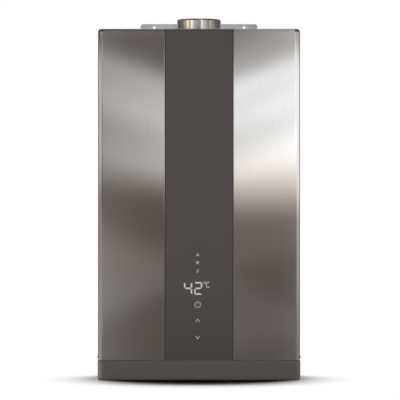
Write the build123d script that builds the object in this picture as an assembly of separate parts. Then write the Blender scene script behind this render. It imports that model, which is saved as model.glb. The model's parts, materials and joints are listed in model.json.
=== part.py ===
from build123d import *
import math
import os

# Wall-hung instantaneous gas water heater.
# X runs to the right, Y back to the wall, Z up. The wall is the plane y = 0,
# and the origin is midway between the two wall holes of the hanging bracket.

# Shared by all pieces
overrun = 5.0                  # how far a cut runs past the face that it opens
running_gap = 0.05             # round a shaft in its bearing
clear_gap = 0.3                # round parts that pass without touching
screw_radius = 2.0
screw_head_radius = 4.0
screw_head_height = 2.4
screw_hole_gap = 0.2
recess_length = 4.6            # cross recess in the screw heads
recess_width = 1.1
recess_depth = 1.3
hex_sides = 6

# Front cover
case_width = 350.0
case_depth = 176.0             # wall to front face
cover_height = 573.0
cover_wall = 0.9
upright_radius = 9.0           # upright front edges
crown_radius = 5.0             # edges round the top
cover_wall_gap = 3.0           # rear edge of the cover to the wall
hole_above_case = 10.0         # wall holes above the top of the cover
top_notch_width = 200.0
top_notch_gap = 5.0            # in front of the flue's flange
top_notch_corner = 8.0
hem_radius = 2.5               # rolled bead low on both sides
hem_proud = 1.2
hem_above_bottom = 4.5

# Channel down the middle of the cover, and the control strip in it
channel_width = 119.5
channel_depth = 3.0
strip_side_gap = 0.3
strip_recess = 0.4
groove_width = 1.2             # dark line along both edges of the strip
groove_depth = 1.4
strip_bond = 0.1               # adhesive behind the strip
strip_foot_gap = 0.1
window_width = 60.0            # opening in the channel, behind the strip
window_rise = 25.0             # foot of the opening above the bottom of the cover
window_height = 168.0
window_corner = 6.0

# Bottom trim
trim_height = 35.0
trim_seam = 1.2                # dark line between cover and trim
trim_proud = 0.6               # beyond the cover's sides
trim_front_proud = 0.6
trim_floor = 3.0
trim_ledge = 16.0              # flat return round the bottom opening
trim_ledge_corner = 10.0
trim_edge_radius = 3.6
trim_bevel = 0.8               # upper outer edge, along the seam
tongue_wall = 2.0              # upstand inside the cover
tongue_height = 8.0
tongue_gap = 0.3
tongue_setback = 1.0           # from the rear edge of the cover

# Chassis sheets
chassis_sheet = 1.2
chassis_gap = 0.5              # chassis to the inside of the cover
rail_width = 18.0
rail_depth = 27.0
rail_foot_gap = 1.0
rear_foot_gap = 4.0            # rear panel above the bottom of the cover
lid_front_gap = 16.0           # front face to the edge of the top panel
floor_height = 6.0             # bottom panel above the bottom of the cover
floor_side_gap = 1.8
floor_front_gap = 8.0
flange_height = 14.0
flange_end_gap = 2.0           # flange to the rails
lip_height = 10.0              # folded front edges of top and bottom panels

# Hanging bracket and lower stay
bracket_sheet = 1.5
bracket_width = 208.0
bracket_above_hole = 6.6
bracket_below_hole = 70.0
bracket_corner = 5.0
wall_hole_spacing = 160.0
wall_hole_radius = 2.5
stay_width = 120.0
stay_below_bottom = 22.0
stay_hole_spacing = 80.0
stay_hole_radius = 2.75
stay_hole_margin = 8.0         # hole centres above the stay's lower edge
rivet_radius = 2.0
rivet_gap = 0.05
rivet_head_radius = 4.0
rivet_head_height = 1.4
rivet_flush = 0.1              # below the face at the wall
bracket_rivet_inset = 22.5     # from the bracket's sides
bracket_rivet_gap = 10.4       # upper row below the top panel's flange
bracket_rivet_margin = 9.0     # lower row above the bracket's lower edge
stay_rivet_gap = 8.8           # above the bottom panel's flange
stay_rivet_margin = 8.0        # below the stay's upper edge

# Cover screws and case screws
cover_screw_depth = 16.0       # from the wall
cover_screw_drop = 100.0       # upper pair below the top of the cover
cover_screw_rise = 93.0        # lower pair above the bottom of the cover
cover_screw_length = 9.0
cover_slot_gap = 0.3
panel_screw_inset = 23.6       # outer screws from the ends of the flange
panel_screw_offset = 8.0       # from the sheet that the flange is folded from

# Flue collar
flue_radius = 38.1             # three-inch flue pipe
flue_wall = 0.8
flue_height = 20.4             # above the top of the cover
flue_rim_radius = 2.6
flue_flange_width = 12.0       # beyond the spigot
flue_flange_sheet = 1.0
flue_gasket_thickness = 1.5
flue_gasket_margin = 2.0       # gasket inside the flange's edge
flue_port_step = 1.2           # port in the top panel, inside the spigot
flue_screw_count = 4
flue_screw_radius = 1.6
flue_screw_head_radius = 3.2
flue_screw_head_height = 2.0

# Fan
fan_sheet = 1.0
scroll_radius = 54.0           # at the tongue
scroll_step = 9.0              # radius gained at each quarter turn
duct_width = 70.0
fan_rise = 80.0                # axis below the top panel
fan_eye_gap = 1.0              # eye inside the ring of blades
fan_boss_radius = 12.0         # hole for the shaft in the front plate
fan_port_rise = 20.0           # pressure port above the axis
impeller_tip_gap = 6.0         # blades inside the scroll
blade_chord = 13.0
impeller_back_gap = 10.0       # ring in front of the eye
impeller_sheet = 1.5
impeller_hub_radius = 10.0
impeller_hub_depth = 24.0
impeller_front_gap = 6.0       # disc behind the front plate
blade_count = 24
blade_tilt = 32.0
motor_radius = 34.0
motor_front_gap = 12.1         # motor to the back of the channel
motor_length_share = 5 / 9     # of the room from the flue's centre line to the motor's front
motor_edge = 5.0
motor_end = 8.0
rotor_radius = 18.0
rotor_gap = 0.6
shaft_radius = 4.0
shaft_end_gap = 1.0
bearing_radius = 8.0

# Heat exchanger, chamber and burner, stacked below the fan
core_side_room = 68.0          # sides of the stack to the sides of the cover
core_front_room = 47.0         # front of the stack to the front of the cover
core_wall_gap = 23.0           # back of the stack to the wall
core_sheet = 1.0
core_corner = 14.0             # rounded upright corners of the stack
hood_gap = 4.0                 # fan scroll above the hood
hood_rise = 35.0
hood_box_margin = 8.0          # box beyond the fan's eye
hood_box_corner = 5.0
hood_sheet = 1.0
exchanger_height = 65.0
tray_height = 65.0
standoff_inset = 27.0          # from the sides of the stack
standoff_width = 16.0
standoff_height = 24.0

# Finned tube
tube_radius = 7.0
tube_wall = 0.8
tube_gap = 6.0                 # between neighbouring tubes
tube_edge_gap = 5.0            # least room in front of the first tube and behind the last
tube_turn_flat = 2.0           # straight stretch in the middle of each return bend
tube_stub = 6.0                # straight end outside the shell
tube_hole_gap = 0.2
fin_count = 32
fin_sheet = 0.4
fin_margin = 5.0               # fin edges inside the shell's height
fin_side_gap = 0.3

# Coil round the chamber, and the pipes to and from it
coil_gap = 0.3
coil_top_room = 15.0           # least room above the coil
coil_pitch = 42.0
coil_rise = 30.0               # start of the coil above the chamber's foot
coil_lead = 34.0               # upright start of the coil
riser_offset = 24.0            # outside the coil
riser_bend = 15.0
cold_depth = 60.0              # cold pipe from the wall

# Burner
burner_side_gap = 3.0          # least room beside the outer burners
burner_pitch = 17.0
burner_base_radius = 6.0
burner_mouth_radius = 4.5
burner_mouth_depth = 30.0
burner_web = 3.0
burner_head_width = 9.0
burner_head_height = 12.0
burner_top_gap = 7.0           # burner heads below the top of the tray
burner_end_gap = 6.0
burner_floor_gap = 0.2
burner_slot_width = 1.2
burner_slot_depth = 5.0
burner_slot_pitch = 6.0
burner_slot_margin = 6.0       # least length without slots at each end
air_slot_width = 8.0
air_slot_margin = 14.0         # air slots in the tray's floor, from its front and back
manifold_gap = 7.0             # in front of the tray
manifold_depth = 14.0
manifold_height = 16.0
manifold_end = 4.0
manifold_wall = 2.0
injector_radius = 3.6
injector_tip_radius = 2.2
injector_tip_reach = 3.0       # into the burner's mouth
injector_back_gap = 2.0        # thick part in front of the burner
injector_hole_radius = 5.0
electrode_holder_gap = 24.0    # beside the display holder
electrode_spacing = 22.0       # between the two spark electrodes
electrode_rise = 12.0          # above the chamber's foot
electrode_radius = 4.5
electrode_collar_radius = 6.5
electrode_collar_depth = 3.0
electrode_front = 18.0         # ceramic in front of the chamber
electrode_inside = 7.0
electrode_rod_radius = 1.2
electrode_rod_front = 3.0
electrode_rod_reach = 14.0
electrode_tip_run = 8.0
electrode_tip_drop = 9.0
electrode_bend = 3.0

# Gas valve
valve_left = 45.0              # left face, left of the middle
valve_width = 70.0
valve_front = 24.0             # front face behind the front of the case
valve_depth = 52.0
valve_height = 66.0
valve_edge = 6.0
valve_foot_gap = 26.0          # above the bottom panel
valve_tray_gap = 24.2          # below the burner tray
valve_bore_radius = 8.0
valve_bore_depth = 20.0
solenoid_radius = 15.0
solenoid_length = 38.0
solenoid_cap = 5.0
solenoid_spacing = 33.0
solenoid_depth = 26.0          # axis behind the valve's front
plunger_radius = 5.0
plunger_disc_radius = 7.0
plunger_disc = 3.0
plunger_travel = 3.0
riser_flange_sheet = 4.0
riser_flange_width = 30.0
riser_flange_depth = 14.0
riser_radius = 6.5
gas_offset = 20.0              # gas inlet, left of the middle

# Water and gas fittings
thread_radius = 10.4775        # half-inch pipe thread, major diameter 20.955
thread_length = 22.0
fitting_foot_gap = 2.0         # thread ends above the trim's lower edge
fitting_neck_radius = 12.0
fitting_hex_radius = 17.0
fitting_hex_height = 8.0
fitting_spigot_radius = 9.5
fitting_bore_radius = 6.5
fitting_rise = 22.0            # top of the water fittings above the bottom panel
locknut_radius = 18.0
locknut_height = 7.0
locknut_gap = 0.1

# Flow sensor and drain
sensor_radius = 16.0
sensor_height = 52.0
sensor_bore_radius = 11.0
spider_height = 4.0
spider_hub_radius = 4.0
spider_arm = 2.0
spider_arm_count = 3
spider_setback = 8.0           # lower spider above the sensor's foot
turbine_radius = 10.2
turbine_hub_radius = 3.5
turbine_height = 16.0
turbine_blade = 1.2
turbine_blade_count = 6
turbine_blade_tilt = 25.0
turbine_pivot_radius = 1.5
turbine_pivot_length = 3.0
sensor_pickup_width = 14.0
sensor_pickup_depth = 9.0
sensor_pickup_height = 18.0
drain_offset = 38.0            # to the left of the cold pipe
drain_arm_radius = 7.0
drain_arm_rise = 12.0
drain_radius = 9.0
drain_below_floor = 8.0
drain_bore_radius = 5.5
drain_bore_depth = 24.0
drain_shank_length = 18.0
drain_knob_radius = 11.0
drain_knob_height = 10.0
drain_grip_count = 12
drain_grip_radius = 1.3

# Control box on the right-hand bracket, ignition and pressure switch on the left
side_plate_gap = 1.5           # plates clear of the cover screws
box_drop = 290.0
box_height = 160.0
box_coil_gap = 5.9             # beside the coil
box_front = 12.0               # behind the front of the case
box_depth = 70.0
box_wall = 2.0
box_lid = 2.0
board_sheet = 1.6
board_gap = 1.0
board_post_radius = 2.5
board_post_height = 5.0
board_post_inset = 6.0
relay_shares = ((0.28, 0.88), (0.72, 0.88), (0.28, 0.72))
relay_width_share = 0.36
relay_height_share = 0.12
relay_depth = 15.0
capacitor_shares = ((0.3, 0.5), (0.7, 0.52), (0.5, 0.38))
capacitor_radius = 5.0
capacitor_length = 20.0
supply_width_share = 0.8
supply_height_share = 0.2
supply_rise_share = 0.14
supply_depth = 26.0
left_plate_drop = 106.0
left_plate_height = 344.0
left_plate_lead = 1.0          # in front of the stack
spark_rise = 10.0              # above the lower end of the left plate
spark_height = 55.0
spark_width = 28.0
spark_front_gap = 4.0          # behind the front of the stack
spark_depth = 45.0
spark_spout_radius = 5.0
spark_spout_length = 9.0
spark_spout_inset = 11.0
lead_radius = 2.2
lead_exit_run = 10.0           # straight run out of the transformer
lead_boot_run = 15.0           # straight run into the electrode
lead_corner_out = 15.0         # clear of the tray's corner
lead_exit_bend = 7.0
lead_bend = 9.0
lead_boot_bend = 6.5
switch_drop = 130.0
switch_depth = 100.0           # axis from the wall
switch_radius = 22.0
switch_width = 24.0
switch_rim = 2.0
nipple_radius = 2.5
nipple_length = 10.0
hose_wall = 1.2
hose_slip_gap = 0.1
hose_end_gap = 1.0
hose_run = 30.0
hose_bend = 20.0

# Small sensors and cord gland
thermostat_inset = 47.0        # from the side of the stack
thermostat_radius = 8.0
thermostat_height = 7.0
thermostat_tab_width = 5.0
thermostat_tab_sheet = 0.8
thermostat_tab_length = 8.0
thermostat_tab_offset = 4.0
thermistor_rise = 73.8         # above the fittings
thermistor_ring = 1.8
thermistor_height = 9.0
thermistor_gap = 0.15
thermistor_radius = 3.2
thermistor_length = 16.0
gland_inset = 25.0             # from the side of the bottom panel
gland_depth = 110.0
gland_radius = 8.0
gland_nut_radius = 10.5
gland_nut_height = 5.0
gland_body_length = 16.0
gland_bore_radius = 3.6

# Display behind the strip, rises above the bottom of the cover
flue_mark_rise = 182.4
fan_mark_rise = 168.2
flame_mark_rise = 153.4
digits_rise = 124.4
power_key_rise = 96.0
up_key_rise = 68.3
down_key_rise = 39.2
digits_width = 52.0
digits_height = 30.0
digits_offset = -3.6           # middle of the digits, left of the strip's middle
digits_front_gap = 0.2         # behind the strip
led_width = 3.5
led_height = 2.8
led_thickness = 1.9
pad_radius = 6.0
pad_inner = 3.2
pad_gap = 0.2
holder_margin = 6.0            # beyond the window
holder_depth = 15.0
holder_wall = 1.6
display_board_margin = 2.0     # beyond the window
display_post_height = 3.4
display_post_radius = 2.5
display_post_inset = 6.0

# Levels and faces that follow from the sizes above
case_top = -hole_above_case
cover_bottom = case_top - cover_height
trim_top = cover_bottom - trim_seam
trim_bottom = cover_bottom - trim_height
front = -case_depth
cover_back = -cover_wall_gap
cover_inner_half = case_width / 2 - cover_wall
chassis_half = cover_inner_half - chassis_gap
channel_back = front + channel_depth + cover_wall
strip_back = front + channel_depth - strip_bond
bracket_front = -bracket_sheet
rear_front = bracket_front - chassis_sheet
flange_front = rear_front - chassis_sheet
flange_half = chassis_half - rail_width - flange_end_gap
lid_half = cover_inner_half - crown_radius
lid_top = case_top - cover_wall - chassis_gap
lid_bottom = lid_top - chassis_sheet
lid_front = front + lid_front_gap
floor_bottom = cover_bottom + floor_height
floor_top = floor_bottom + chassis_sheet
floor_half = cover_inner_half - tongue_gap - tongue_wall - floor_side_gap
floor_front = front + floor_front_gap
rail_top = case_top - crown_radius
rail_bottom = floor_top + rail_foot_gap

stay_rivet_z = floor_top + flange_height + stay_rivet_gap
stay_top = stay_rivet_z + stay_rivet_margin

flue_y = -case_depth / 2
flue_flange_radius = flue_radius + flue_flange_width
flue_screw_circle = flue_radius + flue_flange_width / 2
flue_port_radius = flue_radius - flue_wall - flue_port_step
motor_front = channel_back + motor_front_gap
motor_back = motor_front + motor_length_share * (flue_y - motor_front)
fan_front = motor_back + fan_sheet
fan_back = 2 * flue_y - fan_front
fan_depth = fan_back - fan_front
scroll_reach = scroll_radius + 3 * scroll_step
fan_x = scroll_reach - duct_width / 2
fan_z = lid_bottom - fan_rise
fan_left = fan_x - scroll_reach
impeller_radius = scroll_radius - impeller_tip_gap
impeller_inner = impeller_radius - blade_chord
impeller_front = fan_front + impeller_front_gap
impeller_back = fan_back - impeller_back_gap
impeller_depth = impeller_back - impeller_front
fan_eye_radius = impeller_inner - fan_eye_gap

window_bottom = cover_bottom + window_rise
window_top = window_bottom + window_height
holder_half = window_width / 2 + holder_margin

valve_bottom = floor_top + valve_foot_gap
valve_top = valve_bottom + valve_height
valve_x = (-valve_left, valve_width - valve_left)
valve_y = (front + valve_front, front + valve_front + valve_depth)
valve_middle_z = (valve_bottom + valve_top) / 2
solenoid_y = valve_y[0] + solenoid_depth
plunger_heights = (valve_middle_z + solenoid_spacing / 2, valve_middle_z - solenoid_spacing / 2)
gas_x = -gas_offset
gas_y = solenoid_y

core_half = case_width / 2 - core_side_room
core_back = -core_wall_gap
core_front = front + core_front_room
core_depth = core_back - core_front
core_middle = (core_front + core_back) / 2
hood_box_half = fan_eye_radius + hood_box_margin
hood_top = fan_z - scroll_radius - scroll_step - hood_gap
shell_top = hood_top - hood_rise
chamber_top = shell_top - exchanger_height
tray_bottom = valve_top + valve_tray_gap
tray_top = tray_bottom + tray_height
tray_floor = tray_bottom + core_sheet
tube_z = (shell_top + chamber_top) / 2
tube_pitch = 2 * tube_radius + tube_gap
tube_bend = (tube_pitch - tube_turn_flat) / 2
tube_room = core_depth - 2 * (tube_radius + tube_edge_gap)
tube_count = 2 * int(tube_room / (2 * tube_pitch)) + 1
tube_rows = [core_middle + (row - (tube_count - 1) / 2) * tube_pitch for row in range(tube_count)]
tube_end = core_half + tube_stub
coil_x = core_half + coil_gap + tube_radius
coil_front = core_front - coil_gap - tube_radius
coil_back = core_back + coil_gap + tube_radius
coil_bend = core_corner + coil_gap + tube_radius
coil_start = tray_top + coil_rise
coil_turns = int((chamber_top - coil_top_room - coil_start) / coil_pitch)
riser_x = coil_x + riser_offset
cold_y = -cold_depth
electrode_z = tray_top + electrode_rise
electrode_side = holder_half + electrode_holder_gap
electrode_places = (-electrode_side, electrode_spacing - electrode_side, electrode_side)

burner_front = core_front + core_sheet + burner_end_gap
burner_back = core_back - core_sheet - burner_end_gap
burner_z = tray_floor + burner_floor_gap + burner_base_radius
burner_count = int(2 * (core_half - core_sheet - burner_side_gap) / burner_pitch)
burner_places = [(number - (burner_count - 1) / 2) * burner_pitch for number in range(burner_count)]
burner_slot_room = burner_back - burner_front - 2 * burner_slot_margin
burner_slot_count = int(burner_slot_room / burner_slot_pitch)
manifold_back = core_front - manifold_gap
manifold_front = manifold_back - manifold_depth
manifold_y = (manifold_front + manifold_back) / 2
injector_z = burner_z

fitting_bottom = trim_bottom + fitting_foot_gap
fitting_top = floor_top + fitting_rise
hot_x = -riser_x
hot_y = tube_rows[-1]
sensor_top = fitting_top + sensor_height
spider_low = fitting_top + spider_setback
turbine_low = spider_low + spider_height + clear_gap
spider_high = turbine_low + turbine_height + clear_gap
drain_x = coil_x - drain_offset
drain_bottom = floor_bottom - drain_below_floor
drain_z = fitting_top + drain_arm_rise

plate_outer = chassis_half - chassis_sheet
plate_inner = plate_outer - chassis_sheet
plate_back = -cover_screw_depth - screw_radius - side_plate_gap
box_top = case_top - box_drop
box_x = (coil_x + tube_radius + box_coil_gap, plate_inner)
box_y = (front + box_front, front + box_front + box_depth)
left_plate_top = case_top - left_plate_drop
left_plate_bottom = left_plate_top - left_plate_height
spark_top = left_plate_bottom + spark_rise + spark_height
spark_right = spark_width - plate_inner
spark_front = core_front + spark_front_gap
spark_lead_y = spark_front + spark_spout_inset
spark_lead_z = spark_top - spark_height / 2
switch_z = case_top - switch_drop
switch_y = -switch_depth
switch_right = switch_width - plate_inner

gland_x = floor_half - gland_inset
gland_y = -gland_depth
thermostat_x = core_half - thermostat_inset

holder_back = channel_back + holder_depth
display_board_back = holder_back - holder_wall - display_post_height
display_board_front = display_board_back - board_sheet
key_rises = (power_key_rise, up_key_rise, down_key_rise)
mark_rises = (flue_mark_rise, fan_mark_rise, flame_mark_rise)


def both(half):
    """Span from minus half to plus half."""
    return (-half, half)


def about(middle, size):
    """Span of a size about its middle."""
    return (middle - size / 2, middle + size / 2)


def inset(span, amount):
    """Span drawn in by the same amount at both ends."""
    return (span[0] + amount, span[1] - amount)


def on_side(side, near, far):
    """Span between two distances from the middle, on the left (-1) or the right (1)."""
    return tuple(sorted((side * near, side * far)))


def block(x, y, z):
    """Box between three spans."""
    return Pos(sum(x) / 2, sum(y) / 2, sum(z) / 2) * Box(x[1] - x[0], y[1] - y[0], z[1] - z[0])


def rod_x(radius, x, y, z):
    return Pos(sum(x) / 2, y, z) * Rot(0, 90, 0) * Cylinder(radius, x[1] - x[0])


def rod_y(radius, y, x, z):
    return Pos(x, sum(y) / 2, z) * Rot(90, 0, 0) * Cylinder(radius, y[1] - y[0])


def rod_z(radius, z, x, y):
    return Pos(x, y, sum(z) / 2) * Cylinder(radius, z[1] - z[0])


def hex_z(radius, z, x, y):
    """Upright hexagon, measured to its corners."""
    return extrude(Pos(x, y, z[0]) * RegularPolygon(radius, hex_sides), z[1] - z[0])


def core_block(draw_in, z):
    """Block with the round-cornered plan of the exchanger and burner stack."""
    width = 2 * (core_half - draw_in)
    outline = RectangleRounded(width, core_depth - 2 * draw_in, core_corner - draw_in)
    return extrude(Pos(0, core_middle, z[0]) * outline, z[1] - z[0])


def core_duct(z):
    """Sheet duct of that plan, open at top and bottom."""
    return core_block(0, z) - core_block(core_sheet, inset(z, -overrun))


def bent_tube(points, bends, radius, wall):
    """Tube along straight runs joined by arcs, one bend radius for each corner."""
    path = FilletPolyline(*points, radius=bends)
    section = Circle(radius) - Circle(radius - wall)
    return sweep(Plane(origin=path @ 0, z_dir=path % 0) * section, path=path)


def bent_rod(points, bends, radius):
    path = FilletPolyline(*points, radius=bends)
    return sweep(Plane(origin=path @ 0, z_dir=path % 0) * Circle(radius), path=path)


def rounded_case(half_width, y, z, upright, rim=0, rim_face=-1):
    """Block with rounded upright front edges and, where rim is given, a rounded end at the
    top (rim_face -1) or at the bottom (rim_face 0)."""
    body = block(both(half_width), y, z)
    body = fillet(body.edges().filter_by(Axis.Z).sort_by(Axis.Y)[:2], upright)
    if rim:
        body = fillet(body.faces().sort_by(Axis.Z)[rim_face].edges().sort_by(Axis.Y)[:-1], rim)
    return body


def cross_recess(plane):
    """Cutter for a screw head, on a plane at the head's face whose normal points out of it."""
    arm = Box(recess_length, recess_width, 2 * recess_depth)
    return plane * (arm + Rot(0, 0, 90) * arm)


def group(solids):
    return Compound(list(solids))


# Front cover and what it carries

def cover_screw_heights():
    return (case_top - cover_screw_drop, cover_bottom + cover_screw_rise)


def cover_slot(side, z):
    """Slot open to the rear, so that the cover draws forward off its screws."""
    x = on_side(side, plate_outer, case_width / 2 + overrun)
    radius = screw_radius + cover_slot_gap
    slot = block(x, (-cover_screw_depth, cover_back + overrun), about(z, 2 * radius))
    return slot + rod_x(radius, x, -cover_screw_depth, z)


def side_hem(side):
    bead_x = side * (case_width / 2 + hem_proud - hem_radius)
    bead_y = (front + upright_radius, cover_back)
    bead = rod_y(hem_radius, bead_y, bead_x, cover_bottom + hem_above_bottom)
    outside = block(
        on_side(side, case_width / 2 - cover_wall / 2, case_width / 2 + 2 * hem_proud),
        bead_y,
        about(cover_bottom + hem_above_bottom, 2 * hem_radius),
    )
    return bead & outside


def make_front_cover():
    height = (cover_bottom, case_top)
    outer = rounded_case(case_width / 2, (front, cover_back), height, upright_radius, crown_radius)
    inner = rounded_case(
        cover_inner_half,
        (front + cover_wall, cover_back + overrun),
        (cover_bottom - overrun, case_top - cover_wall),
        upright_radius - cover_wall,
        crown_radius - cover_wall,
    )
    past = inset(height, -overrun)
    channel = block(both(channel_width / 2), (front - overrun, front + channel_depth), past)
    backing = block(both(channel_width / 2 + cover_wall), (front - overrun, channel_back), past)
    notch = rounded_case(
        top_notch_width / 2,
        (flue_y - flue_flange_radius - top_notch_gap, cover_back + overrun),
        (lid_top, case_top + overrun),
        top_notch_corner,
    )
    window = block(
        both(window_width / 2),
        (front - overrun, channel_back + overrun),
        (window_bottom, window_top),
    )
    window = fillet(window.edges().filter_by(Axis.Y), window_corner)
    cover = (outer - channel) - (inner - backing) - notch - window
    for side in (-1, 1):
        cover = cover + side_hem(side)
        for z in cover_screw_heights():
            cover = cover - cover_slot(side, z)
    return cover


def strip_layer(half_width, sink):
    """Slab in the channel that follows the rounded top edge of the cover, sunk below the strip's face."""
    whole = rounded_case(
        case_width / 2,
        (front + strip_recess + sink, cover_back),
        (trim_top + strip_foot_gap, case_top - sink),
        upright_radius,
        crown_radius - sink,
    )
    return whole & block(
        both(half_width),
        (front, strip_back),
        (trim_top, case_top + overrun),
    )


def make_control_panel():
    """Strip that fills the channel, with a groove along both edges."""
    half = channel_width / 2 - strip_side_gap
    return strip_layer(half - groove_width, 0) + strip_layer(half, groove_depth)


def make_bottom_trim():
    """Skirt with an upstand that plugs into the foot of the cover."""
    skirt = rounded_case(
        case_width / 2 + trim_proud,
        (front - trim_front_proud, cover_back),
        (trim_bottom, trim_top),
        upright_radius + trim_proud,
        trim_edge_radius,
        0,
    )
    seam_edges = skirt.faces().sort_by(Axis.Z)[-1].edges().sort_by(Axis.Y)[:-1]
    skirt = chamfer(seam_edges, trim_bevel)
    tongue_front = front + cover_wall + tongue_gap
    tongue_radius = upright_radius - cover_wall - tongue_gap
    tongue = rounded_case(
        cover_inner_half - tongue_gap,
        (tongue_front, cover_back - tongue_setback),
        (trim_bottom + trim_floor, cover_bottom + tongue_height),
        tongue_radius,
    )
    hollow = rounded_case(
        cover_inner_half - tongue_gap - tongue_wall,
        (tongue_front + tongue_wall, cover_back + overrun),
        (trim_bottom + trim_floor, cover_bottom + tongue_height + overrun),
        tongue_radius - tongue_wall,
    )
    opening = rounded_case(
        case_width / 2 - trim_ledge,
        (front + trim_ledge, cover_back + overrun),
        (trim_bottom - overrun, trim_bottom + trim_floor + overrun),
        trim_ledge_corner,
    )
    channel_room = block(
        both(channel_width / 2 + cover_wall + tongue_gap),
        (front - overrun, channel_back + tongue_gap),
        (trim_top, cover_bottom + tongue_height + overrun),
    )
    return skirt + tongue - hollow - opening - channel_room


def make_display_holder():
    """Tray behind the window, with posts for the board."""
    height = (window_bottom - holder_margin, window_top + holder_margin)
    tray = block(both(holder_half), (channel_back, holder_back), height)
    tray = fillet(tray.edges().filter_by(Axis.Y), window_corner)
    room = block(
        both(holder_half - holder_wall),
        (channel_back - overrun, holder_back - holder_wall),
        inset(height, holder_wall),
    )
    tray = tray - room
    board_x, board_z = display_board_spans()
    for x in inset(board_x, display_post_inset):
        for z in inset(board_z, display_post_inset):
            post = (display_board_back, holder_back - holder_wall)
            tray = tray + rod_y(display_post_radius, post, x, z)
    return tray


def display_board_spans():
    x = both(window_width / 2 + display_board_margin)
    z = (window_bottom - display_board_margin, window_top + display_board_margin)
    return x, z


def make_display_board():
    x, z = display_board_spans()
    return block(x, (display_board_front, display_board_back), z)


def make_display_leds():
    """Digit module, and one small lamp behind each mark and key."""
    module = block(
        about(digits_offset, digits_width),
        (strip_back + digits_front_gap, display_board_front),
        about(cover_bottom + digits_rise, digits_height),
    )
    lamp_y = (display_board_front - led_thickness, display_board_front)
    lamps = [
        block(about(0, led_width), lamp_y, about(cover_bottom + rise, led_height))
        for rise in mark_rises + key_rises
    ]
    return group([module] + lamps)


def make_touch_pads():
    """Conductive foam rings from the board to the back of the strip."""
    pad_y = (strip_back + pad_gap, display_board_front)
    pads = []
    for rise in key_rises:
        ring = rod_y(pad_radius, pad_y, 0, cover_bottom + rise)
        pads.append(ring - rod_y(pad_inner, inset(pad_y, -overrun), 0, cover_bottom + rise))
    return group(pads)


# Chassis

def bracket_rivet_places():
    upper = lid_bottom - flange_height - bracket_rivet_gap
    lower = bracket_rivet_margin - bracket_below_hole
    return [(x, z) for x in both(bracket_width / 2 - bracket_rivet_inset) for z in (upper, lower)]


def stay_rivet_places():
    return [(x, stay_rivet_z) for x in both(stay_hole_spacing / 2)]


def rivet_holes(places):
    radius = rivet_radius + rivet_gap
    holes = [rod_y(radius, (rear_front - overrun, overrun), x, z) for x, z in places]
    return holes


def make_hanging_bracket():
    plate = block(
        both(bracket_width / 2), (bracket_front, 0), (-bracket_below_hole, bracket_above_hole)
    )
    plate = fillet(plate.edges().filter_by(Axis.Y), bracket_corner)
    for x in both(wall_hole_spacing / 2):
        plate = plate - rod_y(wall_hole_radius, (bracket_front - overrun, overrun), x, 0)
    return plate - rivet_holes(bracket_rivet_places())


def make_lower_stay():
    low = cover_bottom - stay_below_bottom
    plate = block(both(stay_width / 2), (bracket_front, 0), (low, stay_top))
    plate = fillet(plate.edges().filter_by(Axis.Y), bracket_corner)
    for x in both(stay_hole_spacing / 2):
        hole_y = (bracket_front - overrun, overrun)
        plate = plate - rod_y(stay_hole_radius, hole_y, x, low + stay_hole_margin)
    return plate - rivet_holes(stay_rivet_places())


def panel_screw_places():
    """Screws through the rear flanges of the top and bottom panels."""
    outer = flange_half - panel_screw_inset
    return [
        (x, z)
        for x in (-outer, 0, outer)
        for z in (lid_bottom - panel_screw_offset, floor_top + panel_screw_offset)
    ]


def make_rear_panel():
    panel = block(
        both(chassis_half), (rear_front, bracket_front), (cover_bottom + rear_foot_gap, lid_top)
    )
    panel = panel - rivet_holes(bracket_rivet_places() + stay_rivet_places())
    for x, z in panel_screw_places():
        hole_y = (rear_front - overrun, bracket_front + overrun)
        panel = panel - rod_y(screw_radius + screw_hole_gap, hole_y, x, z)
    return panel


def make_side_rails():
    """Angle rails up both sides, which take the cover screws."""
    rails = []
    for side in (-1, 1):
        height = (rail_bottom, rail_top)
        back_x = on_side(side, chassis_half - rail_width, chassis_half)
        side_x = on_side(side, plate_outer, chassis_half)
        rail = block(back_x, (flange_front, rear_front), height)
        rail = rail + block(side_x, (rear_front - rail_depth, rear_front), height)
        for z in cover_screw_heights():
            hole_x = inset(side_x, -overrun)
            rail = rail - rod_x(screw_radius + screw_hole_gap, hole_x, -cover_screw_depth, z)
        rails.append(rail)
    return group(rails)


def flue_screw_places():
    step = 2 * math.pi / flue_screw_count
    return [
        (
            flue_screw_circle * math.cos((number + 1 / 2) * step),
            flue_y + flue_screw_circle * math.sin((number + 1 / 2) * step),
        )
        for number in range(flue_screw_count)
    ]


def flue_screw_holes():
    radius = flue_screw_radius + screw_hole_gap
    height = (lid_bottom - overrun, case_top + overrun)
    return [rod_z(radius, height, x, y) for x, y in flue_screw_places()]


def make_top_panel():
    panel = block(both(lid_half), (lid_front, rear_front), (lid_bottom, lid_top))
    flange_z = (lid_bottom - flange_height, lid_bottom)
    panel = panel + block(both(flange_half), (flange_front, rear_front), flange_z)
    lip_y = (lid_front, lid_front + chassis_sheet)
    panel = panel + block(both(lid_half), lip_y, (lid_bottom - lip_height, lid_bottom))
    panel = panel - rod_z(flue_port_radius, (lid_bottom - overrun, lid_top + overrun), 0, flue_y)
    panel = panel - flue_screw_holes()
    for x, z in panel_screw_places():
        hole_y = (flange_front - overrun, rear_front + overrun)
        panel = panel - rod_y(screw_radius + screw_hole_gap, hole_y, x, z)
    return panel


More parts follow.
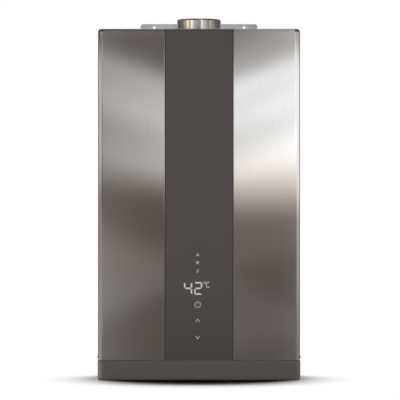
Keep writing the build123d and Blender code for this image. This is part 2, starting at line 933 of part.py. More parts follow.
def make_bottom_panel():
    panel = block(both(floor_half), (floor_front, rear_front), (floor_bottom, floor_top))
    flange_z = (floor_top, floor_top + flange_height)
    panel = panel + block(both(flange_half), (flange_front, rear_front), flange_z)
    lip_y = (floor_front, floor_front + chassis_sheet)
    panel = panel + block(both(flange_half), lip_y, (floor_top, floor_top + lip_height))
    through = (floor_bottom - overrun, floor_top + overrun)
    for x, y in fitting_places():
        panel = panel - rod_z(fitting_neck_radius + clear_gap, through, x, y)
    panel = panel - rod_z(drain_radius + clear_gap, through, drain_x, cold_y)
    panel = panel - rod_z(gland_radius + clear_gap, through, gland_x, gland_y)
    for x, z in panel_screw_places():
        hole_y = (flange_front - overrun, rear_front + overrun)
        panel = panel - rod_y(screw_radius + screw_hole_gap, hole_y, x, z)
    return panel


def make_component_brackets():
    """Side plates that carry the control box and the ignition, and two stand-offs that
    hold the exchanger to the rear panel."""
    right = block(
        on_side(1, plate_inner, plate_outer),
        (box_y[0], plate_back),
        (box_top - box_height, box_top),
    )
    left = block(
        on_side(-1, plate_inner, plate_outer),
        (core_front - left_plate_lead, plate_back),
        (left_plate_bottom, left_plate_top),
    )
    standoffs = [
        block(
            about(side * (core_half - standoff_inset), standoff_width),
            (core_back, rear_front),
            about(tube_z, standoff_height),
        )
        for side in (-1, 1)
    ]
    return group([right, left] + standoffs)


# Flue

def make_flue_gasket():
    height = (lid_top, lid_top + flue_gasket_thickness)
    ring = rod_z(flue_flange_radius - flue_gasket_margin, height, 0, flue_y)
    ring = ring - rod_z(flue_port_radius, inset(height, -overrun), 0, flue_y)
    return ring - flue_screw_holes()


def make_flue_collar():
    """Spigot with a flat flange at its foot and a rolled rim."""
    foot = lid_top + flue_gasket_thickness
    rim = case_top + flue_height - flue_rim_radius
    collar = rod_z(flue_radius, (foot, rim), 0, flue_y)
    collar = collar + rod_z(flue_flange_radius, (foot, foot + flue_flange_sheet), 0, flue_y)
    collar = collar - rod_z(flue_radius - flue_wall, (foot - overrun, rim + overrun), 0, flue_y)
    collar = collar + Pos(0, flue_y, rim) * Torus(flue_radius - flue_rim_radius, flue_rim_radius)
    return collar - flue_screw_holes()


# Fan

def fan_plane(y):
    """Plane across the fan's axis, its normal to the front."""
    return Plane(origin=(fan_x, y, fan_z), x_dir=(1, 0, 0), z_dir=(0, -1, 0))


def scroll_face(draw_in, top):
    """Scroll of three quarter arcs that grow in steps, opening into a duct to the top."""
    first = scroll_radius - draw_in
    second = first + scroll_step
    third = second + scroll_step
    left = -scroll_step - third
    right = duct_width - scroll_reach - draw_in
    return make_face([
        CenterArc((0, 0), first, 0, 90),
        CenterArc((-scroll_step, 0), second, 270, 90),
        CenterArc((-scroll_step, scroll_step), third, 180, 90),
        Line((left, scroll_step), (left, top)),
        Line((left, top), (right, top)),
        Line((right, top), (right, first)),
        Line((right, first), (0, first)),
    ])


def make_fan_housing():
    outer = extrude(fan_plane(fan_back) * scroll_face(0, fan_rise), fan_depth)
    room = scroll_face(fan_sheet, fan_rise + overrun)
    inner = extrude(fan_plane(fan_back - fan_sheet) * room, fan_depth + overrun)
    eye = rod_y(fan_eye_radius, (fan_back - overrun, fan_back + overrun), fan_x, fan_z)
    port_x = (fan_left - nipple_length, fan_left + fan_sheet / 2)
    port = rod_x(nipple_radius, port_x, flue_y, fan_z + fan_port_rise)
    return outer - inner - eye + port


def make_fan_front_plate():
    plate = extrude(fan_plane(fan_front) * scroll_face(0, fan_rise), fan_sheet)
    return plate - rod_y(fan_boss_radius, (fan_front - overrun, fan_front + overrun), fan_x, fan_z)


def make_fan_motor():
    """Round motor body with a bearing seat in each end."""
    body = rod_y(motor_radius, (motor_front, motor_back), fan_x, fan_z)
    body = fillet(body.edges().sort_by(Axis.Y)[0], motor_edge)
    room = (motor_front + motor_end, motor_back - motor_end)
    body = body - rod_y(rotor_radius + rotor_gap, room, fan_x, fan_z)
    through = (motor_front - overrun, motor_back + overrun)
    return body - rod_y(bearing_radius, through, fan_x, fan_z)


def make_motor_bearings():
    bearings = []
    for start in (motor_front, motor_back - motor_end):
        span = (start, start + motor_end)
        ring = rod_y(bearing_radius - running_gap, span, fan_x, fan_z)
        bore = rod_y(shaft_radius + running_gap, inset(span, -overrun), fan_x, fan_z)
        bearings.append(ring - bore)
    return group(bearings)


def make_fan_shaft():
    """Shaft with the motor's rotor pressed on it."""
    end = impeller_front + impeller_hub_depth
    shaft = rod_y(shaft_radius, (motor_front + shaft_end_gap, end), fan_x, fan_z)
    rotor = inset((motor_front + motor_end, motor_back - motor_end), shaft_end_gap)
    return shaft + rod_y(rotor_radius, rotor, fan_x, fan_z)


def make_fan_impeller():
    """Forward-curved wheel: disc and hub at the motor's side, blades, ring at the eye."""
    disc = (impeller_front, impeller_front + impeller_sheet)
    wheel = rod_y(impeller_radius, disc, fan_x, fan_z)
    hub = (impeller_front, impeller_front + impeller_hub_depth)
    wheel = wheel + rod_y(impeller_hub_radius, hub, fan_x, fan_z)
    ring = (impeller_back - impeller_sheet, impeller_back)
    rim = rod_y(impeller_radius, ring, fan_x, fan_z)
    wheel = wheel + (rim - rod_y(impeller_inner, inset(ring, -overrun), fan_x, fan_z))
    middle = impeller_inner + blade_chord / 2
    blade = Box(blade_chord, impeller_depth, impeller_sheet)
    blade = Pos(middle, 0, 0) * Rot(0, blade_tilt, 0) * blade
    centre = Pos(fan_x, (impeller_front + impeller_back) / 2, fan_z)
    wheel = wheel + [centre * Rot(0, step * 360 / blade_count, 0) * blade for step in range(blade_count)]
    bore = inset((impeller_front, impeller_back), -overrun)
    return wheel - rod_y(shaft_radius + running_gap, bore, fan_x, fan_z)


# Fire side

def hood_shape(draw_in):
    """Pyramid over the exchanger that leads up into a box behind the fan."""
    foot = Rectangle(2 * (core_half - draw_in), core_depth - 2 * draw_in)
    box_width = 2 * (hood_box_half - draw_in)
    box_depth_here = core_back - fan_back - 2 * draw_in
    neck = Pos(fan_x, (fan_back + core_back) / 2, hood_top)
    mouth = neck * Rectangle(box_width, box_depth_here)
    pyramid = loft([Pos(0, core_middle, shell_top) * foot, mouth], ruled=True)
    box = neck * RectangleRounded(box_width, box_depth_here, hood_box_corner - draw_in)
    rise = fan_z + hood_box_half - draw_in - hood_top
    return (pyramid & core_block(draw_in, (shell_top, hood_top))) + extrude(box, rise)


def make_gather_hood():
    eye = rod_y(fan_eye_radius, about(fan_back, 2 * overrun), fan_x, fan_z)
    return hood_shape(0) - hood_shape(hood_sheet) - eye


def make_exchanger_shell():
    shell = core_duct((chamber_top, shell_top))
    for y in tube_rows:
        through = both(core_half + overrun)
        shell = shell - rod_x(tube_radius + tube_hole_gap, through, y, tube_z)
    return shell


def make_exchanger_fins():
    """Thin plates across the tubes."""
    height = inset((chamber_top, shell_top), fin_margin)
    fin = block(about(0, fin_sheet), (core_front, core_back), height)
    for y in tube_rows:
        fin = fin - rod_x(tube_radius + tube_hole_gap, both(overrun), y, tube_z)
    pitch = 2 * (core_half - core_sheet) / fin_count
    places = [(number - (fin_count - 1) / 2) * pitch for number in range(fin_count)]
    room = core_block(core_sheet + fin_side_gap, height)
    return group((Pos(x, 0, 0) * fin) & room for x in places)


def make_exchanger_tube():
    """One tube to and fro through the fins, from the right at the front to the left at the back."""
    reach = tube_end + tube_bend
    points = [(tube_end, tube_rows[0], tube_z)]
    side = -1
    for here, after in zip(tube_rows, tube_rows[1:]):
        points.append((side * reach, here, tube_z))
        points.append((side * reach, after, tube_z))
        side = -side
    points.append((side * tube_end, tube_rows[-1], tube_z))
    bends = [tube_bend for _ in points[1:-1]]
    return bent_tube(points, bends, tube_radius, tube_wall)


def make_combustion_chamber():
    chamber = core_duct((tray_top, chamber_top))
    for x in electrode_places:
        through = (core_front - overrun, core_front + overrun)
        chamber = chamber - rod_y(electrode_radius + clear_gap, through, x, electrode_z)
    return chamber


def make_chamber_coil():
    """Tube that climbs round the chamber, then rises into the finned tube."""
    corners = [
        (coil_x, coil_front), (-coil_x, coil_front), (-coil_x, coil_back), (coil_x, coil_back)
    ]
    flat = [(coil_x, cold_y)] + corners * coil_turns + [(riser_x, tube_rows[0])]
    perimeter = 4 * coil_x + 2 * (coil_back - coil_front)
    height = coil_start
    points = [(coil_x, cold_y, coil_start - coil_lead), (coil_x, cold_y, coil_start)]
    for here, after in zip(flat, flat[1:]):
        height = height + math.dist(here, after) * coil_pitch / perimeter
        points.append((after[0], after[1], height))
    points.append((riser_x, tube_rows[0], tube_z))
    points.append((tube_end, tube_rows[0], tube_z))
    bends = [coil_bend for _ in flat[:-1]] + [riser_bend, riser_bend]
    return bent_tube(points, bends, tube_radius, tube_wall)


def make_cold_feed_pipe():
    height = (sensor_top, coil_start - coil_lead)
    pipe = rod_z(tube_radius, height, coil_x, cold_y)
    return pipe - rod_z(tube_radius - tube_wall, inset(height, -overrun), coil_x, cold_y)


def make_hot_outlet_pipe():
    points = [(-tube_end, hot_y, tube_z), (hot_x, hot_y, tube_z), (hot_x, hot_y, fitting_top)]
    return bent_tube(points, [riser_bend], tube_radius, tube_wall)


# Burner and gas

def make_burner_tray():
    tray = core_block(0, (tray_bottom, tray_top))
    tray = tray - core_block(core_sheet, (tray_floor, tray_top + overrun))
    for x in burner_places:
        through = (core_front - overrun, core_front + overrun)
        tray = tray - rod_y(injector_hole_radius, through, x, injector_z)
    slot_y = inset((core_front, core_back), air_slot_margin)
    for here, after in zip(burner_places, burner_places[1:]):
        slot_x = about((here + after) / 2, air_slot_width)
        tray = tray - block(slot_x, slot_y, (tray_bottom - overrun, tray_floor + overrun))
    return tray


def make_burner_blades():
    """Upright burners: a mixing tube at the foot, a thin web and a slotted head."""
    length = (burner_front, burner_back)
    head_top = tray_top - burner_top_gap
    head_bottom = head_top - burner_head_height
    blade = rod_y(burner_base_radius, length, 0, burner_z)
    blade = blade + block(about(0, burner_web), length, (burner_z, head_bottom))
    blade = blade + block(about(0, burner_head_width), length, (head_bottom, head_top))
    mouth = (burner_front - overrun, burner_front + burner_mouth_depth)
    blade = blade - rod_y(burner_mouth_radius, mouth, 0, burner_z)
    middle = (burner_front + burner_back) / 2
    for number in range(burner_slot_count):
        y = middle + (number - (burner_slot_count - 1) / 2) * burner_slot_pitch
        slot_z = (head_top - burner_slot_depth, head_top + overrun)
        blade = blade - block(both(burner_head_width), about(y, burner_slot_width), slot_z)
    return group(Pos(x, 0, 0) * blade for x in burner_places)


def make_gas_manifold():
    """Bar across the front of the burner, with its feed pipe up from the valve."""
    bar_x = both(burner_places[-1] + injector_radius + manifold_end)
    bar_y = (manifold_front, manifold_back)
    bar_z = about(injector_z, manifold_height)
    bar = block(bar_x, bar_y, bar_z)
    foot = (valve_top, valve_top + riser_flange_sheet)
    bar = bar + rod_z(riser_radius, (valve_top, bar_z[0]), gas_x, manifold_y)
    bar = bar + block(about(gas_x, riser_flange_width), about(manifold_y, riser_flange_depth), foot)
    bar = bar - block(inset(bar_x, manifold_wall), inset(bar_y, manifold_wall), inset(bar_z, manifold_wall))
    bore = (valve_top - overrun, injector_z)
    return bar - rod_z(riser_radius - manifold_wall, bore, gas_x, manifold_y)


def make_gas_injectors():
    thick = (manifold_back, burner_front - injector_back_gap)
    tip = (manifold_back, burner_front + injector_tip_reach)
    injector = rod_y(injector_radius, thick, 0, injector_z)
    injector = injector + rod_y(injector_tip_radius, tip, 0, injector_z)
    return group(Pos(x, 0, 0) * injector for x in burner_places)


def make_gas_valve_body():
    body = block(valve_x, valve_y, (valve_bottom, valve_top))
    body = fillet(body.edges().filter_by(Axis.Z), valve_edge)
    for z in plunger_heights:
        bore_x = (valve_x[1] - valve_bore_depth, valve_x[1] + overrun)
        body = body - rod_x(valve_bore_radius, bore_x, solenoid_y, z)
    return body


def make_gas_valve_coils():
    coils = []
    for z in plunger_heights:
        coil_span = (valve_x[1], valve_x[1] + solenoid_length)
        coil = rod_x(solenoid_radius, coil_span, solenoid_y, z)
        bore_x = (valve_x[1] - overrun, coil_span[1] - solenoid_cap)
        coils.append(coil - rod_x(plunger_radius + clear_gap, bore_x, solenoid_y, z))
    return group(coils)


def make_plunger(z):
    """Steel plunger with a sealing disc, closed at rest and drawn to the right to open."""
    seat = valve_x[1] - valve_bore_depth + clear_gap
    end = valve_x[1] + solenoid_length - solenoid_cap - plunger_travel - clear_gap
    rod = rod_x(plunger_radius, (seat, end), solenoid_y, z)
    return rod + rod_x(plunger_disc_radius, (seat, seat + plunger_disc), solenoid_y, z)


def make_main_valve_plunger():
    return make_plunger(plunger_heights[0])


def make_modulating_valve_plunger():
    return make_plunger(plunger_heights[1])


# Fittings and water

def fitting_places():
    return [(coil_x, cold_y), (hot_x, hot_y), (gas_x, gas_y)]


def make_fitting(x, y, top):
    """Threaded stub below, neck through the bottom panel, hexagon on it, spigot above."""
    thread_top = fitting_bottom + thread_length
    hex_top = floor_top + fitting_hex_height
    body = rod_z(thread_radius, (fitting_bottom, thread_top), x, y)
    body = body + rod_z(fitting_neck_radius, (thread_top, floor_top), x, y)
    body = body + hex_z(fitting_hex_radius, (floor_top, hex_top), x, y)
    body = body + rod_z(fitting_spigot_radius, (hex_top, top), x, y)
    return body - rod_z(fitting_bore_radius, (fitting_bottom - overrun, top + overrun), x, y)


def make_cold_inlet_fitting():
    return make_fitting(coil_x, cold_y, fitting_top)


def make_hot_outlet_fitting():
    return make_fitting(hot_x, hot_y, fitting_top)


def make_gas_inlet_fitting():
    return make_fitting(gas_x, gas_y, valve_bottom)


def make_fitting_locknuts():
    height = (floor_bottom - locknut_height, floor_bottom)
    nuts = []
    for x, y in fitting_places():
        bore = rod_z(fitting_neck_radius + locknut_gap, inset(height, -overrun), x, y)
        nuts.append(hex_z(locknut_radius, height, x, y) - bore)
    return group(nuts)


def spider(foot):
    """Hub on three arms across the sensor's bore, with a pivot hole."""
    height = (foot, foot + spider_height)
    part = rod_z(spider_hub_radius, height, coil_x, cold_y)
    reach = (sensor_bore_radius + sensor_radius) / 2
    arm = block((0, reach), about(0, spider_arm), height)
    centre = Pos(coil_x, cold_y, 0)
    part = part + [
        centre * Rot(0, 0, step * 360 / spider_arm_count) * arm for step in range(spider_arm_count)
    ]
    pivot = turbine_pivot_radius + running_gap
    return part - rod_z(pivot, inset(height, -overrun), coil_x, cold_y)


def make_flow_sensor_body():
    """Cast inlet block: the sensor's tube, its pickup housing and the drain branch."""
    height = (fitting_top, sensor_top)
    body = rod_z(sensor_radius, height, coil_x, cold_y)
    pickup_y = (cold_y - sensor_radius - sensor_pickup_depth, cold_y)
    pickup_z = about((turbine_low + spider_high) / 2, sensor_pickup_height)
    body = body + block(about(coil_x, sensor_pickup_width), pickup_y, pickup_z)
    body = body + rod_x(drain_arm_radius, (drain_x, coil_x), cold_y, drain_z)
    body = body + rod_z(drain_radius, (drain_bottom, drain_z + drain_arm_radius), drain_x, cold_y)
    body = body - rod_z(sensor_bore_radius, inset(height, -overrun), coil_x, cold_y)
    drain_bore = (drain_bottom - overrun, drain_bottom + drain_bore_depth)
    body = body - rod_z(drain_bore_radius, drain_bore, drain_x, cold_y)
    return body + spider(spider_low) + spider(spider_high)


def make_flow_sensor_rotor():
    """Turbine whose pivots run in the two spiders."""
    height = (turbine_low, turbine_low + turbine_height)
    rotor = rod_z(turbine_hub_radius, height, coil_x, cold_y)
    blade = Box(turbine_radius, turbine_blade, turbine_height)
    blade = Pos(turbine_radius / 2, 0, 0) * Rot(turbine_blade_tilt, 0, 0) * blade
    centre = Pos(coil_x, cold_y, sum(height) / 2)
    rotor = rotor + [
        centre * Rot(0, 0, step * 360 / turbine_blade_count) * blade
        for step in range(turbine_blade_count)
    ]
    room = rod_z(turbine_radius, height, coil_x, cold_y)
    rotor = rotor & room
    pivots = inset(height, -turbine_pivot_length)
    return rotor + rod_z(turbine_pivot_radius, pivots, coil_x, cold_y)


def make_drain_plug():
    """Plug with a gripped knob, turned by hand from below."""
    knob_top = drain_bottom - clear_gap
    knob = (knob_top - drain_knob_height, knob_top)
    plug = rod_z(drain_knob_radius, knob, drain_x, cold_y)
    for step in range(drain_grip_count):
        turn = 2 * math.pi * step / drain_grip_count
        x = drain_x + drain_knob_radius * math.cos(turn)
        y = cold_y + drain_knob_radius * math.sin(turn)
        plug = plug - rod_z(drain_grip_radius, inset(knob, -overrun), x, y)
    shank = (knob_top, knob_top + drain_shank_length)
    return plug + rod_z(drain_bore_radius - running_gap, shank, drain_x, cold_y)


# Ignition, safety and electronics

def make_ignition_transformer():
    body = block(
        (-plate_inner, spark_right),
        (spark_front, spark_front + spark_depth),
        (spark_top - spark_height, spark_top),
    )
    spout = (spark_right, spark_right + spark_spout_length)
    return body + rod_x(spark_spout_radius, spout, spark_lead_y, spark_lead_z)


def make_electrode_insulators():
    insulators = []
    for x in electrode_places:
        length = (core_front - electrode_front, core_front + electrode_inside)
        ceramic = rod_y(electrode_radius, length, x, electrode_z)
        collar = (core_front - electrode_collar_depth, core_front)
        ceramic = ceramic + rod_y(electrode_collar_radius, collar, x, electrode_z)
        bore = rod_y(electrode_rod_radius + running_gap, inset(length, -overrun), x, electrode_z)
        insulators.append(ceramic - bore)
    return group(insulators)


def make_electrode_rods():
    """Rods through the ceramics, their tips bent down to the burners."""
    start = core_front - electrode_front - electrode_rod_front
    corner = core_front + electrode_inside + electrode_rod_reach
    rods = []
    for x in electrode_places:
        points = [
            (x, start, electrode_z),
            (x, corner, electrode_z),
            (x, corner + electrode_tip_run, electrode_z - electrode_tip_drop),
        ]
        rods.append(bent_rod(points, [electrode_bend], electrode_rod_radius))
    return group(rods)


def make_ignition_lead():
    """High-voltage lead round the tray's front corner to the first electrode."""
    x = electrode_places[0]
    end_y = core_front - electrode_front - electrode_rod_front
    start_x = spark_right + spark_spout_length
    points = [
        (start_x, spark_lead_y, spark_lead_z),
        (start_x + lead_exit_run, spark_lead_y, spark_lead_z),
        (-core_half - lead_corner_out, core_front - lead_corner_out / 2, spark_lead_z),
        (x - lead_corner_out, end_y - lead_boot_run, (spark_lead_z + electrode_z) / 2),
        (x, end_y - lead_boot_run, electrode_z),
        (x, end_y, electrode_z),
    ]
    return bent_rod(points, [lead_exit_bend, lead_bend, lead_bend, lead_boot_bend], lead_radius)


def make_control_box():
    z = (box_top - box_height, box_top)
    tray_y = (box_y[0] + box_lid, box_y[1])
    tray = block(box_x, tray_y, z)
    room_y = (tray_y[0] - overrun, tray_y[1] - box_wall)
    tray = tray - block(inset(box_x, box_wall), room_y, inset(z, box_wall))
    post_y = (room_y[1] - board_post_height, room_y[1])
    for post_x in inset(box_x, box_wall + board_post_inset):
        for post_z in inset(z, box_wall + board_post_inset):
            tray = tray + rod_y(board_post_radius, post_y, post_x, post_z)
    return tray


def make_control_box_lid():
    lid = block(box_x, (box_y[0], box_y[0] + box_lid), (box_top - box_height, box_top))
    return fillet(lid.edges().filter_by(Axis.Y), box_lid)


def make_control_board():
    """Board with its relays, capacitors and transformer."""
    x = inset(box_x, box_wall + board_gap)
    z = inset((box_top - box_height, box_top), box_wall + board_gap)
    back = box_y[1] - box_wall - board_post_height
    board_front = back - board_sheet
    board = block(x, (board_front, back), z)
    width = x[1] - x[0]
    height = z[1] - z[0]
    for across, up in relay_shares:
        relay_x = about(x[0] + across * width, relay_width_share * width)
        relay_z = about(z[0] + up * height, relay_height_share * height)
        board = board + block(relay_x, (board_front - relay_depth, board_front), relay_z)
    for across, up in capacitor_shares:
        can_y = (board_front - capacitor_length, board_front)
        can_x = x[0] + across * width
        board = board + rod_y(capacitor_radius, can_y, can_x, z[0] + up * height)
    supply_x = about(x[0] + width / 2, supply_width_share * width)
    supply_z = about(z[0] + supply_rise_share * height, supply_height_share * height)
    return board + block(supply_x, (board_front - supply_depth, board_front), supply_z)


def make_pressure_switch():
    """Two-part diaphragm can with a rim and a hose nipple."""
    can = rod_x(switch_radius - switch_rim, (-plate_inner, switch_right), switch_y, switch_z)
    rim = about((switch_right - plate_inner) / 2, 2 * switch_rim)
    can = can + rod_x(switch_radius, rim, switch_y, switch_z)
    nipple = (switch_right, switch_right + nipple_length)
    return can + rod_x(nipple_radius, nipple, switch_y, switch_z)


def make_pressure_hose():
    """Soft tube from the fan's port to the switch, pushed over both nipples."""
    bore = nipple_radius + hose_slip_gap
    port_z = fan_z + fan_port_rise
    start = fan_left - hose_end_gap
    end = switch_right + hose_end_gap
    points = [
        (start, flue_y, port_z),
        (start - hose_run, flue_y, port_z),
        (end + hose_run, switch_y, switch_z),
        (end, switch_y, switch_z),
    ]
    return bent_tube(points, [hose_bend, hose_bend], bore + hose_wall, hose_wall)


def make_overheat_thermostat():
    body_y = (core_front - thermostat_height, core_front)
    body = rod_y(thermostat_radius, body_y, thermostat_x, tube_z)
    for side in (-1, 1):
        tab = block(
            about(thermostat_x + side * thermostat_tab_offset, thermostat_tab_sheet),
            (body_y[0] - thermostat_tab_length, body_y[0]),
            about(tube_z, thermostat_tab_width),
        )
        body = body + tab
    return body


def make_outlet_thermistor():
    """Clip round the hot pipe with the sensor's barrel to the front."""
    z = fitting_top + thermistor_rise
    height = about(z, thermistor_height)
    inner = tube_radius + thermistor_gap
    barrel_y = (hot_y - inner - thermistor_length, hot_y)
    part = rod_z(inner + thermistor_ring, height, hot_x, hot_y)
    part = part + rod_y(thermistor_radius, barrel_y, hot_x, z)
    return part - rod_z(inner, inset(height, -overrun), hot_x, hot_y)


def make_cord_gland():
    """Gland through the bottom panel, its mouth down."""
    mouth = floor_bottom - gland_body_length
    top = floor_top + gland_nut_height
    body = rod_z(gland_radius, (floor_bottom, floor_top), gland_x, gland_y)
    body = body + hex_z(gland_nut_radius, (floor_top, top), gland_x, gland_y)
    body = body + hex_z(gland_nut_radius, (mouth + gland_nut_height, floor_bottom), gland_x, gland_y)
    body = body + rod_z(gland_radius, (mouth, mouth + gland_nut_height), gland_x, gland_y)
    return body - rod_z(gland_bore_radius, (mouth - overrun, top + overrun), gland_x, gland_y)


# Fasteners

def make_cover_screws():
    """Screws in the side rails, their heads outside the cover."""
    screws = []
    for side in (-1, 1):
        for z in cover_screw_heights():
            seat = case_width / 2 + clear_gap
            shank = on_side(side, seat - cover_screw_length, seat)
            head = on_side(side, seat, seat + screw_head_height)
            screw = rod_x(screw_radius, shank, -cover_screw_depth, z)
            screw = screw + rod_x(screw_head_radius, head, -cover_screw_depth, z)
            face = (side * (seat + screw_head_height), -cover_screw_depth, z)
            screws.append(screw - cross_recess(Plane(origin=face, z_dir=(side, 0, 0))))
    return group(screws)


def make_case_screws():
    """Screws of the top and bottom panels' flanges and of the flue collar."""
    screws = []
    for x, z in panel_screw_places():
        shank = rod_y(screw_radius, (flange_front, bracket_front - rivet_flush), x, z)
        head = (flange_front - screw_head_height, flange_front)
        face = Plane(origin=(x, head[0], z), z_dir=(0, -1, 0))
        screws.append(shank + rod_y(screw_head_radius, head, x, z) - cross_recess(face))
    seat = lid_top + flue_gasket_thickness + flue_flange_sheet
    for x, y in flue_screw_places():
        shank = rod_z(flue_screw_radius, (lid_bottom, seat), x, y)
        head = (seat, seat + flue_screw_head_height)
        screw = shank + rod_z(flue_screw_head_radius, head, x, y)
        screws.append(screw - cross_recess(Plane(origin=(x, y, head[1]), z_dir=(0, 0, 1))))
    return group(screws)


def make_bracket_rivets():
    rivets = []
    for x, z in bracket_rivet_places() + stay_rivet_places():
        shank = rod_y(rivet_radius, (rear_front, -rivet_flush), x, z)
        head = rod_y(rivet_head_radius, (rear_front - rivet_head_height, rear_front), x, z)
        rivets.append(shank + head)
    return group(rivets)


pieces = {
    "front_cover": make_front_cover,
    "control_panel": make_control_panel,
    "bottom_trim": make_bottom_trim,
    "display_holder": make_display_holder,
    "display_board": make_display_board,
    "display_leds": make_display_leds,
    "touch_pads": make_touch_pads,
    "hanging_bracket": make_hanging_bracket,
    "lower_stay": make_lower_stay,
    "rear_panel": make_rear_panel,
    "side_rails": make_side_rails,
    "top_panel": make_top_panel,
    "bottom_panel": make_bottom_panel,
    "component_brackets": make_component_brackets,
    "flue_gasket": make_flue_gasket,
    "flue_collar": make_flue_collar,
    "fan_housing": make_fan_housing,
    "fan_front_plate": make_fan_front_plate,
    "fan_motor": make_fan_motor,
    "motor_bearings": make_motor_bearings,
    "fan_shaft": make_fan_shaft,
    "fan_impeller": make_fan_impeller,
    "gather_hood": make_gather_hood,
    "exchanger_shell": make_exchanger_shell,
    "exchanger_fins": make_exchanger_fins,
    "exchanger_tube": make_exchanger_tube,
    "combustion_chamber": make_combustion_chamber,
    "chamber_coil": make_chamber_coil,
    "cold_feed_pipe": make_cold_feed_pipe,
    "hot_outlet_pipe": make_hot_outlet_pipe,
    "burner_tray": make_burner_tray,
    "burner_blades": make_burner_blades,
    "gas_manifold": make_gas_manifold,
    "gas_injectors": make_gas_injectors,
    "gas_valve_body": make_gas_valve_body,
    "gas_valve_coils": make_gas_valve_coils,
    "main_valve_plunger": make_main_valve_plunger,
    "modulating_valve_plunger": make_modulating_valve_plunger,
    "gas_inlet_fitting": make_gas_inlet_fitting,
    "cold_inlet_fitting": make_cold_inlet_fitting,
    "hot_outlet_fitting": make_hot_outlet_fitting,
    "fitting_locknuts": make_fitting_locknuts,
    "flow_sensor_body": make_flow_sensor_body,
    "flow_sensor_rotor": make_flow_sensor_rotor,
    "drain_plug": make_drain_plug,
    "ignition_transformer": make_ignition_transformer,
    "electrode_insulators": make_electrode_insulators,
    "electrode_rods": make_electrode_rods,
    "ignition_lead": make_ignition_lead,
    "control_box": make_control_box,
    "control_box_lid": make_control_box_lid,
    "control_board": make_control_board,
    "pressure_switch": make_pressure_switch,
    "pressure_hose": make_pressure_hose,
    "overheat_thermostat": make_overheat_thermostat,
    "outlet_thermistor": make_outlet_thermistor,
    "cord_gland": make_cord_gland,
    "cover_screws": make_cover_screws,
    "case_screws": make_case_screws,
    "bracket_rivets": make_bracket_rivets,
}

os.makedirs("parts", exist_ok=True)
for name, make in pieces.items():
    export_step(make(), f"parts/{name}.step")
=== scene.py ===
import json
import math
from collections import namedtuple

import bmesh
import bpy
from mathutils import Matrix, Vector


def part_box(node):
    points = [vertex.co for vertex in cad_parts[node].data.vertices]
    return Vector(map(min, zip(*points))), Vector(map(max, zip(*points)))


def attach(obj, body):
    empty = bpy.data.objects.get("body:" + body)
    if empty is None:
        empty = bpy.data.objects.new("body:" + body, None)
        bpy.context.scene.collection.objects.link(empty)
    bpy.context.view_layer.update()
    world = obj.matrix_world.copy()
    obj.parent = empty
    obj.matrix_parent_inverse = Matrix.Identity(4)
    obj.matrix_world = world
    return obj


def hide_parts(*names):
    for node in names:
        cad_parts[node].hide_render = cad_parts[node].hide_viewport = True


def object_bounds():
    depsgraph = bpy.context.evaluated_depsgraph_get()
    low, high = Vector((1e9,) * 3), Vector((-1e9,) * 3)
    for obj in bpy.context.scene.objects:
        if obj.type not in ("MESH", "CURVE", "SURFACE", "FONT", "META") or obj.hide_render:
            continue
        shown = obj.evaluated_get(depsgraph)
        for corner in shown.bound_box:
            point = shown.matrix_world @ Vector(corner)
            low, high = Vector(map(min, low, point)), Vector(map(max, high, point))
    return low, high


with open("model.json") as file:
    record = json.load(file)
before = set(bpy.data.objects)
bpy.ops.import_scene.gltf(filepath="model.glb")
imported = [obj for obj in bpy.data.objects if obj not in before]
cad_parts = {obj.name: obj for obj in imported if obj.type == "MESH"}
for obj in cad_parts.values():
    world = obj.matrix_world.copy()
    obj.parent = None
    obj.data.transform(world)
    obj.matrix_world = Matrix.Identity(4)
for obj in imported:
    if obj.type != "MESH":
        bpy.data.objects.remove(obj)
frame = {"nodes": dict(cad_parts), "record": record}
cad_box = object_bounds()

mm = 0.001
record = frame["record"]

# Camera
view_distance = 6.0            # from the cover's front
view_span = 0.692              # what the picture takes in at that distance
view_shift_x = 1.7 * mm
view_drop = 296.5 * mm         # below the top of the cover
sensor_width = 36.0

# Display marks, sizes and heights above the foot of the cover
mark_proud = 0.15 * mm
mark_overlap = 0.05 * mm
mark_x = -2.4 * mm
digit_width = 14.2 * mm
digit_height = 22.2 * mm
digit_stroke = 2.8 * mm
digit_gap = 0.65 * mm
digit_rise = 123.6 * mm
tens_x = -18.9 * mm
units_x = -1.5 * mm
degree_x = 9.8 * mm
degree_rise = 133.0 * mm
degree_radius = 1.9 * mm
degree_stroke = 0.9 * mm
letter_x = 15.6 * mm
letter_rise = 129.8 * mm
letter_width = 5.0 * mm
letter_height = 8.8 * mm
letter_stroke = 1.5 * mm
flue_sign_width = 5.0 * mm
flue_sign_height = 3.6 * mm
flue_sign_rise = 181.3 * mm
flue_sign_stroke = 2.0 * mm
fan_sign_radius = 1.75 * mm
fan_sign_stroke = 2.3 * mm
fan_sign_rise = 168.2 * mm
flame_half = 1.9 * mm
flame_foot = -4.2 * mm
flame_tip = 3.8 * mm
flame_lean = 1.5 * mm
flame_sign_rise = 153.8 * mm
power_radius = 4.9 * mm
power_gap = 56.0               # degrees
power_bar_foot = 0.4 * mm
power_bar_top = 6.6 * mm
power_rise = 95.6 * mm
arrow_width = 7.4 * mm
arrow_height = 4.8 * mm
up_rise = 68.0 * mm
down_rise = 38.9 * mm
key_stroke = 1.65 * mm
ring_steps = 24
open_ring_steps = 40
mitre_limit = 0.4              # keeps a line's sharp corners short
merge_distance = mark_overlap / 10
digit_colour = (0.50, 0.47, 0.455)
unit_colour = (0.40, 0.38, 0.37)
sign_colour = (0.30, 0.285, 0.28)
digit_light = 0.82
sign_light = 0.75

